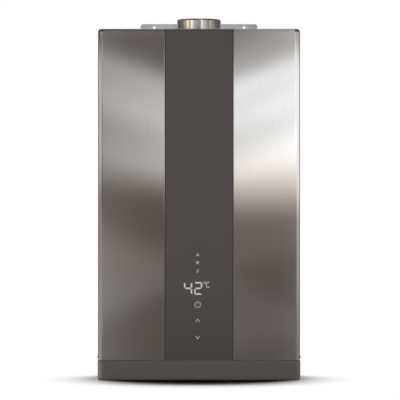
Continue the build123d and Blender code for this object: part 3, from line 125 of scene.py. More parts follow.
# Pipe fittings
thread_pitch = 1.814 * mm
thread_crest = 10.4775 * mm    # radius over the thread
thread_depth = 1.16 * mm
thread_length = 22.0 * mm
thread_steps = 8
thread_lead_in = 2.0 * mm
neck_radius = 12.0 * mm
spigot_radius = 9.5 * mm
bore_radius = 6.5 * mm
hex_height = 8.0 * mm
hex_sides = 6
hex_bevel_share = 0.94
round_steps = 72
panel_thickness = 1.2 * mm

# Rubber pads on the trim's back, at the foot of the grooves beside the strip: painted shade, dark blocks put
# where the grooves' ends show only shade
pad_width = 5.5 * mm
pad_depth = 3.0 * mm
pad_height = 4.5 * mm
pad_side_shift = 0.8 * mm      # its middle from the strip's edge
trim_wall = 3.8 * mm           # from the trim's front to its back

# Studio: a light's place is where the camera sees it mirrored on the cover,
# in metres from the camera's height and the cover's middle
Band = namedtuple(
    "Band",
    "low low_soft high high_soft glow lean low_slope high_slope",
    defaults=(0.0, 0.27, 0.40),    # how glow and edges change further to the side
)
Strip = namedtuple("Strip", "azimuth width glow foot")    # angles in degrees from the front
Lift = namedtuple("Lift", "start reach glow")
ring_radius = 1.2
ring_low = -0.86
ring_high = 1.0
ring_turns = 360
ring_rows = 250
lid_rows = 24
floor_fade = 0.1               # height in which the wall goes over to the floor
floor_glow = 0.30
rear_glow = 0.35
rear_blend = ring_radius / 4   # from the middle of the ceiling to its brighter rear
dim_glow = 0.125
dim_tint = (1.15, 0.985, 0.935)
warm_tint = (1.0, 0.92, 0.89)  # of the light about the middle
warm_heights = (-0.16, -0.10, 0.02, 0.08)
cool_tint = (1.0, 1.04, 1.09)  # of the light higher up, most of all on the right
cool_heights = (0.08, 0.14, 0.22, 0.27)
cool_left_share = 0.35
gold_tint = (1.0, 0.91, 0.68)  # of the light that the flue's sides show
gold_heights = (0.295, 0.305, 0.345, 0.36)
gold_sides = (0.1, 1.0)
slope_middle = 0.118           # sideways, where a sloping edge has its own height
slope_reach = 0.2
side_blend = 0.03
left_bands = (
    Band(0.22, 0.02, 0.257, 0.02, 0.11),
    Band(0.034, 0.034, 0.233, 0.017, 0.42, -2.4, 0.05, 0.36),
    Band(0.14, 0.02, 0.214, 0.014, 0.11),
    Band(0.14, 0.02, 0.172, 0.010, 0.12),
    Band(0.056, 0.015, 0.088, 0.02, 0.08),
    Band(-0.185, 0.022, -0.072, 0.03, 0.11, 0.0, -0.46, 0.30),
)
right_bands = (
    Band(0.235, 0.02, 3.0, 0.1, 0.30, 2.2),
    Band(0.20, 0.02, 0.255, 0.05, 0.26, -2.0, 0.40, 0.10),
    Band(0.008, 0.05, 0.230, 0.018, 1.03, 1.3, 0.05),
    Band(0.14, 0.02, 0.214, 0.014, 0.06),
    Band(0.14, 0.02, 0.172, 0.010, 0.22),
    Band(0.045, 0.022, 0.10, 0.025, 0.42, 2.0),
    Band(-0.105, 0.02, 0.02, 0.03, 0.07),
    Band(-0.245, 0.03, -0.165, 0.022, 0.06, 0.0, 0.25, -0.60),
)
left_side_bands = (
    Band(-0.5, 0.1, 0.262, 0.03, 0.22),
    Band(0.03, 0.04, 0.25, 0.03, 0.36),
    Band(-0.5, 0.1, -0.05, 0.06, 0.07),
    Band(-0.6, 0.05, -0.292, 0.012, 1.3),
)
right_side_bands = (
    Band(-0.20, 0.20, 0.293, 0.010, 0.50),
    Band(0.0, 0.04, 0.25, 0.03, 0.75),
    Band(-0.6, 0.05, -0.292, 0.012, 0.9),
)
back_bands = (Band(-0.35, 0.1, 0.25, 0.05, 0.5),)
left_lift = Lift(0.06, 0.105, 0.10)
right_lift = Lift(0.13, 0.033, 0.06)
lift_fade = (-0.06, 0.04)      # heights between which the lift weakens
lift_left_over = 0.3
lift_limit = 1.1
front_turn = (28.0, 58.0)      # degrees from the front, where the side walls take over
side_end = (98.0, 122.0)
back_turn = (145.0, 160.0)
lane_end = (0.20, 0.30)        # how far to the side the light above the cover reaches
loft_start = (0.35, 0.40)      # heights above which the room beside it is darker
loft_end = (112.0, 132.0)      # degrees from the front, where the bright rear of the room begins
loft_room_share = 0.25
rear_start = (0.32, 0.50)
flue_strips = (
    Strip(-102, 22, 0.12, 0.300),
    Strip(-70, 30, 0.80, 0.300),
    Strip(-61, 8, 1.60, 0.300),
    Strip(-49, 11, 0.70, 0.300),
    Strip(-38, 11, 2.15, 0.300),
    Strip(-24, 16, 0.85, 0.300),
    Strip(-6, 13, 0.82, 0.309),
    Strip(15, 9, 1.12, 0.302),
    Strip(26, 20, 0.16, 0.300),
    Strip(50, 12, 0.06, 0.300),
    Strip(60, 9, 0.72, 0.300),
    Strip(74, 22, 0.34, 0.300),
)
strip_top = 0.345
strip_soft = 0.006

# Lamps: place, size and power; all but the top one leave the floor alone
world_light = 0.06
lamps = {
    "top_lamp": ((0.0, 1.10, 3.5), (4.2, 0.9), 200.0),
    "left_lamp": ((-2.7, -0.9, 0.35), (1.4, 1.0), 95.0),
    "right_lamp": ((2.7, -0.9, 0.35), (1.4, 1.0), 37.0),
    "front_lamp": ((0.0, -3.2, -0.4), (1.8, 0.3), 26.0),
    "back_lamp": ((0.0, 2.6, 0.8), (1.6, 1.2), 42.0),
}
floor_lamps = ("top_lamp",)

# Floor
floor_size = 8.0
floor_drop = 0.5 * mm
floor_colour = (0.95, 0.95, 0.95)
# painted shadow: the floor's own colour runs to this dark where the object hides the space around a point
painted_shadow_colour = (0.01, 0.01, 0.01)
shadow_from = (0.0, 0.8, 0.6)  # where the shadow at the foot looks for the object
shadow_reach = 0.25
shadow_samples = 16
shadow_range = (0.42, 0.75)
white_turn = (0.15, 0.29)      # from the object, where the floor goes over to white
white_squeeze = 0.75           # the same, front to back

# Surface detail
usual_range = (0.3, 0.7)       # where most of a noise texture's values lie
full_range = (0.0, 1.0)
upright_grain = (1, 1, 0.02)   # draws streaks out along Z
level_grain = (0.02, 0.02, 1)  # draws them out along X and Y
bevel_samples = 6
mix_share = 0                  # sockets of a mix node that blends colours
mix_first = 6
mix_second = 7
mix_result = 2
tarnish_colour = (0.52, 0.25, 0.16)
heat_colour = (0.40, 0.22, 0.20)
solder_colour = (0.55, 0.53, 0.48)


# Materials

class Surface:
    """A node material in the making, with a short call for each kind of detail."""

    def __init__(self, name, colour, roughness, metallic=0.0):
        self.material = bpy.data.materials.new(name)
        self.material.use_nodes = True
        self.tree = self.material.node_tree
        self.shader = self.tree.nodes["Principled BSDF"]
        self.constant("Base Color", (*colour, 1.0))
        self.constant("Roughness", roughness)
        self.constant("Metallic", metallic)
        self.place = self.node("ShaderNodeTexCoord").outputs["Object"]
        self.normal = None

    def node(self, kind, settings=None, inputs=None):
        made = self.tree.nodes.new(kind)
        for name, value in (settings or {}).items():
            setattr(made, name, value)
        for name, value in (inputs or {}).items():
            if isinstance(value, bpy.types.NodeSocket):
                self.tree.links.new(value, made.inputs[name])
            else:
                made.inputs[name].default_value = value
        return made

    def constant(self, name, value):
        self.shader.inputs[name].default_value = value

    def stretched(self, stretch):
        """Object coordinates, squeezed along each axis by the given factors."""
        mapping = self.node("ShaderNodeMapping", inputs={"Vector": self.place, "Scale": stretch})
        return mapping.outputs["Vector"]

    def noise(self, size, stretch=(1, 1, 1), detail=3.0):
        """Noise whose features are about size metres across."""
        place = self.stretched(stretch)
        inputs = {"Vector": place, "Scale": 1 / size, "Detail": detail}
        return self.node("ShaderNodeTexNoise", inputs=inputs).outputs["Fac"]

    def cells(self, size, output="Color"):
        """Irregular cells about size metres across."""
        inputs = {"Vector": self.place, "Scale": 1 / size}
        return self.node("ShaderNodeTexVoronoi", inputs=inputs).outputs[output]

    def level(self, value, low, high, source=usual_range):
        """Spreads a texture's usual range over low to high."""
        inputs = {
            "Value": value,
            "From Min": source[0],
            "From Max": source[1],
            "To Min": low,
            "To Max": high,
        }
        return self.node("ShaderNodeMapRange", inputs=inputs).outputs["Result"]

    def smooth_level(self, value, low, high, source):
        """The same with a soft start and end."""
        level = self.level(value, low, high, source)
        level.node.interpolation_type = "SMOOTHSTEP"
        return level

    def blend(self, value, first, second, source=usual_range):
        """Colour between two, by a texture."""
        mix = self.node("ShaderNodeMix", {"data_type": "RGBA"})
        self.tree.links.new(self.level(value, 0, 1, source), mix.inputs[mix_share])
        for socket, colour in ((mix.inputs[mix_first], first), (mix.inputs[mix_second], second)):
            if isinstance(colour, bpy.types.NodeSocket):
                self.tree.links.new(colour, socket)
            else:
                socket.default_value = (*colour, 1.0)
        return mix.outputs[mix_result]

    def paint(self, colour):
        self.tree.links.new(colour, self.shader.inputs["Base Color"])

    def roughen(self, value, low, high, source=usual_range):
        self.tree.links.new(self.level(value, low, high, source), self.shader.inputs["Roughness"])

    def round_edges(self, radius):
        """Lets sharp edges catch the light as if they were rounded."""
        bevel = self.node("ShaderNodeBevel", {"samples": bevel_samples}, {"Radius": radius})
        self.normal = bevel.outputs["Normal"]
        self.tree.links.new(self.normal, self.shader.inputs["Normal"])

    def bump(self, value, depth, strength=0.5):
        inputs = {"Height": value, "Distance": depth, "Strength": strength}
        if self.normal is not None:
            inputs["Normal"] = self.normal
        self.normal = self.node("ShaderNodeBump", inputs=inputs).outputs["Normal"]
        self.tree.links.new(self.normal, self.shader.inputs["Normal"])


def scaled(colour, share):
    return tuple(share * part for part in colour)


def brushed_steel(name, colour, roughness, grain, anisotropy=0.2, fold=0.0):
    """Rolled steel with a directional grain; grain is the stretch of its streaks, fold the bends' radius."""
    steel = Surface(name, colour, roughness, metallic=1.0)
    steel.constant("Anisotropic", anisotropy)
    if fold:
        steel.round_edges(fold)
    streaks = steel.noise(size=0.8 * mm, stretch=grain)
    clouds = steel.noise(size=60 * mm)
    steel.paint(steel.blend(streaks, scaled(colour, 0.97), scaled(colour, 1.03)))
    steel.roughen(clouds, low=roughness * 0.94, high=roughness * 1.08)
    steel.bump(streaks, depth=0.004 * mm, strength=0.05)
    return steel.material


def galvanised(name, colour):
    """Zinc coating with its spangle of flat crystals."""
    zinc = Surface(name, colour, roughness=0.42, metallic=0.25)
    crystals = zinc.cells(size=7 * mm)
    grey = zinc.node("ShaderNodeRGBToBW", inputs={"Color": crystals}).outputs["Val"]
    dust = zinc.noise(size=1.5 * mm)
    zinc.paint(zinc.blend(grey, scaled(colour, 0.94), scaled(colour, 1.16), full_range))
    zinc.roughen(grey, low=0.34, high=0.52, source=full_range)
    zinc.bump(dust, depth=0.02 * mm, strength=0.15)
    return zinc.material


def copper(name, colour):
    """Copper with dull patches and darker, redder heat marks."""
    metal = Surface(name, colour, roughness=0.3, metallic=1.0)
    patches = metal.noise(size=28 * mm, detail=5.0)
    heat = metal.noise(size=55 * mm, stretch=(1, 1, 2.2), detail=4.0)
    tarnish = metal.blend(patches, colour, tarnish_colour, source=(0.42, 0.72))
    metal.paint(metal.blend(heat, tarnish, heat_colour, source=(0.56, 0.80)))
    metal.roughen(patches, low=0.24, high=0.46)
    metal.bump(metal.noise(size=2.5 * mm), depth=0.03 * mm, strength=0.12)
    return metal.material


def turned(name, colour, roughness):
    """Metal finished on a lathe about an upright axis: fine rings and a few dull spots."""
    metal = Surface(name, colour, roughness, metallic=1.0)
    rings = metal.noise(size=0.35 * mm, stretch=level_grain)
    spots = metal.noise(size=9 * mm, detail=4.0)
    metal.paint(metal.blend(spots, colour, scaled(colour, 0.82), source=(0.45, 0.75)))
    metal.roughen(spots, low=roughness * 0.85, high=roughness * 1.4)
    metal.bump(rings, depth=0.015 * mm, strength=0.2)
    return metal.material


def cast(name, colour):
    """Die casting: fine pebble and flow marks."""
    metal = Surface(name, colour, roughness=0.48, metallic=1.0)
    pebble = metal.noise(size=1.1 * mm, detail=4.0)
    flow = metal.noise(size=24 * mm, stretch=(1, 1, 2.5), detail=4.0)
    metal.paint(metal.blend(flow, scaled(colour, 0.9), scaled(colour, 1.05)))
    metal.roughen(flow, low=0.42, high=0.58)
    metal.bump(pebble, depth=0.06 * mm, strength=0.3)
    return metal.material


def moulded(name, colour, roughness, shade=0.12, gloss=0.5, edge=0.0):
    """Moulded plastic with a spark-eroded grain and slightly uneven gloss; edge is the corners' radius."""
    plastic = Surface(name, colour, roughness)
    plastic.constant("Specular IOR Level", gloss)
    if edge:
        plastic.round_edges(edge)
    pebble = plastic.noise(size=0.9 * mm, detail=2.0)
    clouds = plastic.noise(size=40 * mm)
    plastic.paint(plastic.blend(pebble, scaled(colour, 1 - shade), scaled(colour, 1 + shade)))
    plastic.roughen(clouds, low=roughness * 0.92, high=roughness * 1.08)
    plastic.bump(pebble, depth=0.03 * mm, strength=0.25)
    return plastic.material


def rubber(name, colour):
    """Soft rubber or silicone: dull, with bloom."""
    soft = Surface(name, colour, roughness=0.62)
    bloom = soft.noise(size=6 * mm, detail=4.0)
    soft.paint(soft.blend(bloom, scaled(colour, 0.9), scaled(colour, 1.12)))
    soft.roughen(bloom, low=0.55, high=0.72)
    soft.bump(soft.noise(size=0.7 * mm), depth=0.02 * mm, strength=0.2)
    return soft.material


def ceramic(name, colour):
    """Glazed alumina with faint specks."""
    glaze = Surface(name, colour, roughness=0.25)
    specks = glaze.noise(size=0.8 * mm)
    glaze.paint(glaze.blend(specks, colour, scaled(colour, 0.85), source=(0.62, 0.74)))
    glaze.roughen(glaze.noise(size=5 * mm), low=0.2, high=0.34)
    return glaze.material


def circuit(name, colour):
    """Solder mask over copper tracks, with pads."""
    board = Surface(name, colour, roughness=0.35)
    tracks = board.cells(size=4 * mm, output="Distance")
    pads = board.cells(size=2.2 * mm, output="Distance")
    masked = board.blend(tracks, scaled(colour, 1.5), colour, source=(0.30, 0.36))
    board.paint(board.blend(pads, solder_colour, masked, source=(0.10, 0.13)))
    board.roughen(tracks, low=0.28, high=0.42)
    board.bump(tracks, depth=0.04 * mm, strength=0.2)
    return board.material


def enamel(name, colour):
    """Sprayed enamel with orange peel."""
    paint = Surface(name, colour, roughness=0.36)
    peel = paint.noise(size=2.2 * mm, detail=2.0)
    paint.paint(paint.blend(paint.noise(size=20 * mm), scaled(colour, 0.85), scaled(colour, 1.15)))
    paint.roughen(peel, low=0.3, high=0.44)
    paint.bump(peel, depth=0.03 * mm, strength=0.3)
    return paint.material


def smooth_strip(name, colour):
    """Even dark strip: a satin face with a very fine fleck."""
    strip = Surface(name, colour, roughness=0.5)
    fleck = strip.noise(size=0.8 * mm, detail=2.0)
    strip.paint(strip.blend(fleck, scaled(colour, 0.94), scaled(colour, 1.06)))
    strip.roughen(strip.noise(size=70 * mm), low=0.47, high=0.54)
    strip.constant("Specular IOR Level", 0.3)
    return strip.material


def lit_print(name, colour, strength):
    """Lit mark: an even glow through a diffuser with a slight cloud."""
    mark = Surface(name, scaled(colour, 0.25), roughness=0.5)
    cloud = mark.noise(size=3 * mm)
    glow = mark.blend(cloud, scaled(colour, 0.94), scaled(colour, 1.06))
    mark.tree.links.new(glow, mark.shader.inputs["Emission Color"])
    mark.constant("Emission Strength", strength)
    return mark.material


def slot_colour(slot):
    """Colour that the record gives to a material slot."""
    for entry in record["materials"]:
        if entry["slot"] == slot:
            return tuple(entry["base_color"][:3])
    raise KeyError(slot)


finishes = {
    "brushed_cover_steel": (brushed_steel, {"roughness": 0.09, "grain": upright_grain, "fold": 0.8 * mm}),
    "dark_strip": (smooth_strip, {}),
    "dark_trim": (moulded, {"roughness": 0.34, "gloss": 0.8, "edge": 1.0 * mm}),
    "stainless": (brushed_steel, {"roughness": 0.11, "grain": level_grain}),
    "galvanised": (galvanised, {}),
    "fan_sheet": (galvanised, {}),
    "motor_case": (enamel, {}),
    "bearing_bronze": (turned, {"roughness": 0.4}),
    "shaft_steel": (turned, {"roughness": 0.22}),
    "impeller_steel": (brushed_steel, {"roughness": 0.3, "grain": upright_grain}),
    "copper": (copper, {}),
    "burner_steel": (brushed_steel, {"roughness": 0.3, "grain": level_grain, "anisotropy": 0.3}),
    "cast_aluminium": (cast, {}),
    "brass": (turned, {"roughness": 0.26}),
    "coil_black": (moulded, {"roughness": 0.45}),
    "white_plastic": (moulded, {"roughness": 0.4, "shade": 0.03}),
    "black_plastic": (moulded, {"roughness": 0.46}),
    "ceramic": (ceramic, {}),
    "lead_red": (rubber, {}),
    "hose_silicone": (rubber, {}),
    "box_plastic": (moulded, {"roughness": 0.42, "shade": 0.04}),
    "circuit_green": (circuit, {}),
    "seal_rubber": (rubber, {}),
    "zinc_screw": (turned, {"roughness": 0.3}),
    "rivet_aluminium": (turned, {"roughness": 0.34}),
}


def make_materials():
    """One material for each slot of the record, by the slot's name."""
    made = {}
    for slot, (maker, options) in finishes.items():
        made[slot] = maker(slot, slot_colour(slot), **options)
    return made


def dress_nodes(materials):
    """Gives each CAD node the material of its slot in the record."""
    for entry in record["subparts"]:
        mesh = frame["nodes"][entry["node"]].data
        mesh.materials.clear()
        mesh.materials.append(materials[entry["material_slot"]])


# Mesh helpers

def linked(name, mesh, material):
    """Object of a finished bmesh, put in the scene."""
    data = bpy.data.meshes.new(name)
    mesh.to_mesh(data)
    mesh.free()
    data.materials.append(material)
    made = bpy.data.objects.new(name, data)
    bpy.context.scene.collection.objects.link(made)
    return made


def skin(mesh, rings):
    """Joins each ring of vertices to the next one."""
    for lower, upper in zip(rings, rings[1:]):
        for i in range(len(lower)):
            j = (i + 1) % len(lower)
            mesh.faces.new((lower[i], lower[j], upper[j], upper[i]))


def raised_print(name, faces, material):
    """Thin mark on the control strip, from flat outlines of (x, z) points."""
    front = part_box("control_panel")[0].y
    mesh = bmesh.new()
    for outline in faces:
        mesh.faces.new([mesh.verts.new((x, front + mark_overlap, z)) for x, z in outline])
    bmesh.ops.remove_doubles(mesh, verts=mesh.verts, dist=merge_distance)
    grown = bmesh.ops.extrude_face_region(mesh, geom=mesh.faces[:])["geom"]
    for vert in (part for part in grown if isinstance(part, bmesh.types.BMVert)):
        vert.co.y = front - mark_proud
    bmesh.ops.recalc_face_normals(mesh, faces=mesh.faces)
    made = linked(name, mesh, material)
    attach(made, "front_cover")


def stroke(points, width, closed=False):
    """Quads of one line of the given width along the points."""
    count = len(points)
    path = [Vector(point) for point in points]
    edges = []
    for i, point in enumerate(path):
        before = path[i - 1] if i or closed else point
        after = path[(i + 1) % count] if i < count - 1 or closed else point
        first = (point - before).normalized() if (point - before).length else (after - point).normalized()
        second = (after - point).normalized() if (after - point).length else first
        across = Vector((-(first + second).y, (first + second).x)).normalized()
        reach = width / 2 / max(mitre_limit, across.dot(Vector((-first.y, first.x))))
        edges.append((point + across * reach, point - across * reach))
    last = count if closed else count - 1
    quads = []
    for i in range(last):
        (a, b), (c, d) = edges[i], edges[(i + 1) % count]
        quads.append([a, b, d, c])
    return quads


def arc(centre, radius, start, end, steps):
    """Points of an arc, angles in degrees from the upright, clockwise."""
    points = []
    for i in range(steps + 1):
        angle = math.radians(start + (end - start) * i / steps)
        points.append((centre[0] + radius * math.sin(angle), centre[1] + radius * math.cos(angle)))
    return points


def moved(faces, x, z):
    return [[(px + x, pz + z) for px, pz in outline] for outline in faces]


# Display marks

def digit_segments():
    """The seven bars of a digit, about its centre, by their usual letters."""
    w, h, s, g = digit_width / 2, digit_height / 2, digit_stroke, digit_gap
    top = [(-w + g, h), (w - g, h), (w - s - g, h - s), (-w + s + g, h - s)]
    upper = [(w, h - g), (w - s, h - s - g), (w - s, s / 2 + g), (w - s / 2, g), (w, s / 2 + g)]
    middle = [(-w + s / 2 + g, 0), (-w + s + g, s / 2), (w - s - g, s / 2)]
    middle += [(-x, -z) for x, z in middle]
    return {
        "a": top,
        "b": upper,
        "c": [(x, -z) for x, z in upper],
        "d": [(x, -z) for x, z in top],
        "e": [(-x, -z) for x, z in upper],
        "f": [(-x, z) for x, z in upper],
        "g": middle,
    }


def digit(bars):
    segments = digit_segments()
    return [segments[bar] for bar in bars]


def letter_c():
    w, h, cut = letter_width / 2, letter_height / 2, letter_width / 4
    line = [(w, h), (-w + cut, h), (-w, h - cut), (-w, -h + cut), (-w + cut, -h), (w, -h)]
    return stroke(line, letter_stroke)


def ring_mark(radius, width, gap=0.0):
    """Ring, open at the top by gap degrees."""
    if gap:
        return stroke(arc((0, 0), radius, gap / 2, 360 - gap / 2, open_ring_steps), width)
    return stroke(arc((0, 0), radius, 0, 360, ring_steps)[:-1], width, closed=True)


def chevron(width, height, line):
    return stroke([(-width / 2, -height / 2), (0, height / 2), (width / 2, -height / 2)], line)


def flame_outline():
    """Slim leaf that leans to the right."""
    third = (flame_tip - flame_foot) / 3
    left = [(-flame_half, flame_foot + third), (-flame_half / 2, flame_foot + 2 * third)]
    right = [(flame_half, flame_foot + 2 * third), (flame_half / 2, flame_foot + third)]
    return [[(-flame_half / 2, flame_foot), *left, (flame_lean, flame_tip), *right]]


def power_mark():
    bar = stroke([(0, power_bar_foot), (0, power_bar_top)], key_stroke)
    return ring_mark(power_radius, key_stroke, power_gap) + bar


def make_display():
    """Temperature readout, three signs above it and three touch keys below."""
    lit = lit_print("lit_digits", digit_colour, digit_light)
    unit = lit_print("lit_unit", unit_colour, digit_light)
    dim = lit_print("lit_marks", sign_colour, sign_light)
    flue_sign = chevron(flue_sign_width, flue_sign_height, flue_sign_stroke)
    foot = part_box("front_cover")[0].z
    marks = {
        "digit_tens": (lit, digit("bcfg"), tens_x, digit_rise),
        "digit_units": (lit, digit("abged"), units_x, digit_rise),
        "degree_sign": (unit, ring_mark(degree_radius, degree_stroke), degree_x, degree_rise),
        "unit_letter": (unit, letter_c(), letter_x, letter_rise),
        "sign_flue": (dim, flue_sign, mark_x, flue_sign_rise),
        "sign_fan": (dim, ring_mark(fan_sign_radius, fan_sign_stroke), mark_x, fan_sign_rise),
        "sign_flame": (dim, flame_outline(), mark_x, flame_sign_rise),
        "key_power": (dim, power_mark(), mark_x, power_rise),
        "key_up": (dim, chevron(arrow_width, arrow_height, key_stroke), mark_x, up_rise),
        "key_down": (dim, chevron(arrow_width, -arrow_height, key_stroke), mark_x, down_rise),
    }
    for name, (material, faces, x, rise) in marks.items():
        raised_print(name, moved(faces, x, foot + rise), material)


# Pipe fittings

def hexagon_radius(angle, corner):
    """Distance from the axis to a hexagon's side, corners on the X axis."""
    part = math.tau / hex_sides
    off_middle = angle % part - part / 2
    flat = corner * math.cos(part / 2)
    return min(flat / math.cos(off_middle), corner)


def thread_radius(angle, height):
    """Radius of the helical thread, which fades in at its free end."""
    turn = (height / thread_pitch - angle / math.tau) % 1.0
    groove = 1 - abs(2 * turn - 1)
    taper = max(0.0, 1 - height / thread_lead_in)
    return thread_crest - thread_depth * max(groove, taper)


def fitting_rows(low, high, seat, corner):
    """Outer rows of a fitting from the free end up: pairs of a height and a radius by angle."""
    rows = []
    steps = round(thread_length / thread_pitch * thread_steps)
    for i in range(steps + 1):
        height = thread_length * i / steps
        rows.append((low + height, lambda a, h=height: thread_radius(a, h)))
    bevelled = corner * hex_bevel_share
    edge = corner - bevelled
    rows.append((low + thread_length, lambda a: neck_radius))
    rows.append((seat, lambda a: neck_radius))
    for height, limit in (
        (seat, bevelled),
        (seat + edge / 2, corner),
        (seat + hex_height - edge / 2, corner),
        (seat + hex_height, bevelled),
    ):
        rows.append((height, lambda a, m=limit: min(hexagon_radius(a, corner), m)))
    rows.append((seat + hex_height, lambda a: spigot_radius))
    rows.append((high, lambda a: spigot_radius))
    return rows


def make_fitting(name, node, material):
    """Threaded pipe stub that stands for the plain one in the frame."""
    low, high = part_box(node)
    middle = (low + high) / 2
    corner = (high.x - low.x) / 2
    rows = [(low.z, lambda a: bore_radius)]
    rows += fitting_rows(low.z, high.z, panel_top(), corner)
    rows.append((high.z, lambda a: bore_radius))
    mesh = bmesh.new()
    rings = []
    for z, radius in rows:
        ring = []
        for i in range(round_steps):
            angle = math.tau * i / round_steps
            reach = radius(angle)
            x = middle.x + reach * math.cos(angle)
            y = middle.y + reach * math.sin(angle)
            ring.append(mesh.verts.new((x, y, z)))
        rings.append(ring)
    skin(mesh, rings + rings[:1])
    bmesh.ops.recalc_face_normals(mesh, faces=mesh.faces)
    made = linked(name, mesh, material)
    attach(made, "chassis")
    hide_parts(node)


def panel_top():
    """Upper face of the bottom panel's sheet, where the fittings' hexagons sit."""
    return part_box("fitting_locknuts")[1].z + panel_thickness


# Rubber pads

def make_pad(name, side, material):
    """Rubber pad that closes the foot of the groove on one side of the strip: painted shade, a dark block
    where the groove's end shows only shade.
    """
    x = side * (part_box("control_panel")[1].x + pad_side_shift)
    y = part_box("bottom_trim")[0].y + trim_wall + pad_depth / 2
    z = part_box("front_cover")[0].z - pad_height / 2
    mesh = bmesh.new()
    bmesh.ops.create_cube(mesh, size=1.0)
    bmesh.ops.scale(mesh, vec=(pad_width, pad_depth, pad_height), verts=mesh.verts)
    bmesh.ops.translate(mesh, vec=(x, y, z), verts=mesh.verts)
    made = linked(name, mesh, material)
    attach(made, "front_cover")


# Studio

def smooth(low, high, value):
    """Soft step from 0 at low to 1 at high."""
    share = min(1.0, max(0.0, (value - low) / (high - low)))
    return share * share * (3 - 2 * share)


def band_glow(bands, x, height):
    """Glow of soft boxes at a height; their edges slope with the distance to the side."""
    reach = min(abs(x), slope_reach) - slope_middle
    total = 0.0
    for band in bands:
        low = band.low + band.low_slope * reach
        high = band.high + band.high_slope * reach
        rise = smooth(low - band.low_soft, low + band.low_soft, height)
        fall = 1 - smooth(high - band.high_soft, high + band.high_soft, height)
        total += max(0.0, band.glow + band.lean * reach) * rise * fall
    return total


def lift_glow(lift, x, height):
    """Light that grows towards the outer edge, most of all low down."""
    share = min(lift_limit, max(0.0, (abs(x) - lift.start) / lift.reach))
    left = 1 - (1 - lift_left_over) * smooth(*lift_fade, height)
    return lift.glow * share * share * left


def strip_glow(azimuth, height):
    """Upright strip lights above the cover, which show in the flue."""
    total = 0.0
    for strip in flue_strips:
        off = abs(azimuth - strip.azimuth) / strip.width
        above = smooth(strip.foot - strip_soft, strip.foot + strip_soft, height)
        total += strip.glow * (1 - smooth(0.0, 1.0, off)) * above
    return total * (1 - smooth(strip_top - strip_soft, strip_top + strip_soft, height))


def box_glow(x, height):
    """The soft boxes in front, one set to the left and one to the right."""
    right = smooth(-side_blend, side_blend, x)
    left_glow = band_glow(left_bands, x, height) + lift_glow(left_lift, x, height)
    right_glow = band_glow(right_bands, x, height) + lift_glow(right_lift, x, height)
    return (1 - right) * left_glow + right * right_glow


def loft_share(azimuth, x, height):
    """How far a point lies in the dark above the cover and to its side."""
    front = 1 - smooth(*loft_end, abs(azimuth))
    return smooth(*loft_start, height) * smooth(*lane_end, abs(x)) * front


def studio_glow(azimuth, x, height):
    """Light of the studio's wall: soft boxes in front, plain walls at the sides, a panel behind.

    x and height are where the camera sees the wall on the cover's front."""
    turn = abs(azimuth)
    side_bands = left_side_bands if x < 0 else right_side_bands
    at_side = smooth(*front_turn, turn)
    past_side = smooth(*side_end, turn)
    behind = smooth(*back_turn, turn)
    wall = (1 - at_side) * (1 - loft_share(azimuth, x, height)) * box_glow(x, height)
    wall += at_side * (1 - past_side) * band_glow(side_bands, slope_middle, height)
    wall += behind * band_glow(back_bands, slope_middle, height)
    wall += smooth(*loft_end, turn) * smooth(*rear_start, height) * rear_glow
    return wall + strip_glow(azimuth, height)


def plateau(edges, value):
    """1 between the middle two edges, fading to 0 at the outer ones."""
    return smooth(edges[0], edges[1], value) * (1 - smooth(edges[2], edges[3], value))


def light_tint(x, height):
    """Tint of the light: warm about the middle, cool above, golden beside the flue."""
    right = smooth(-side_blend, side_blend, x)
    cool_side = cool_left_share + (1 - cool_left_share) * right
    shares = (
        (warm_tint, plateau(warm_heights, height)),
        (cool_tint, plateau(cool_heights, height) * cool_side),
        (gold_tint, plateau(gold_heights, height) * smooth(*gold_sides, abs(x))),
    )
    return [1 + sum(share * (tint[i] - 1) for tint, share in shares) for i in range(3)]


def tinted(glow, loft, x, height):
    """Colours the light and adds the warm light of the dim room."""
    room = dim_glow * (1 - (1 - loft_room_share) * loft)
    return [glow * part + room * tint for part, tint in zip(light_tint(x, height), dim_tint)]


def wall_colour(azimuth, x, z, height):
    """Colour at one point of the wall, which goes over to the floor at its foot."""
    below = 1 - smooth(ring_low, ring_low + floor_fade, z)
    wall = tinted(studio_glow(azimuth, x, height), loft_share(azimuth, x, height), x, height)
    return [(1 - below) * part + below * floor_glow for part in wall]


def ceiling_colour(azimuth, x, y, height):
    """Ceiling: carries on the light above the cover, and is brighter behind."""
    rear = smooth(0.0, rear_blend, y)
    loft = loft_share(azimuth, x, height)
    front = (1 - rear) * (1 - loft) * box_glow(x, height)
    return tinted(front + rear * rear_glow, loft, x, height)


def glow_material(name):
    """Light of the colour that each vertex carries."""
    material = bpy.data.materials.new(name)
    material.use_nodes = True
    tree = material.node_tree
    tree.nodes.clear()
    glow = tree.nodes.new("ShaderNodeAttribute")
    glow.attribute_name = "glow"
    light = tree.nodes.new("ShaderNodeEmission")
    out = tree.nodes.new("ShaderNodeOutputMaterial")
    tree.links.new(glow.outputs["Color"], light.inputs["Color"])
    tree.links.new(light.outputs["Emission"], out.inputs["Surface"])
    material.cycles.emission_sampling = "NONE"
    return material


def studio_rings():
    """Rings of the studio from its floor up the wall and in over the ceiling: radius, z and colour rule."""
    rings = [(ring_radius * row / lid_rows, ring_low, "floor") for row in range(1, lid_rows)]
    for row in range(ring_rows + 1):
        rings.append((ring_radius, ring_low + (ring_high - ring_low) * row / ring_rows, "wall"))
    rings += [(ring_radius * row / lid_rows, ring_high, "ceiling") for row in range(lid_rows - 1, 0, -1)]
    return rings


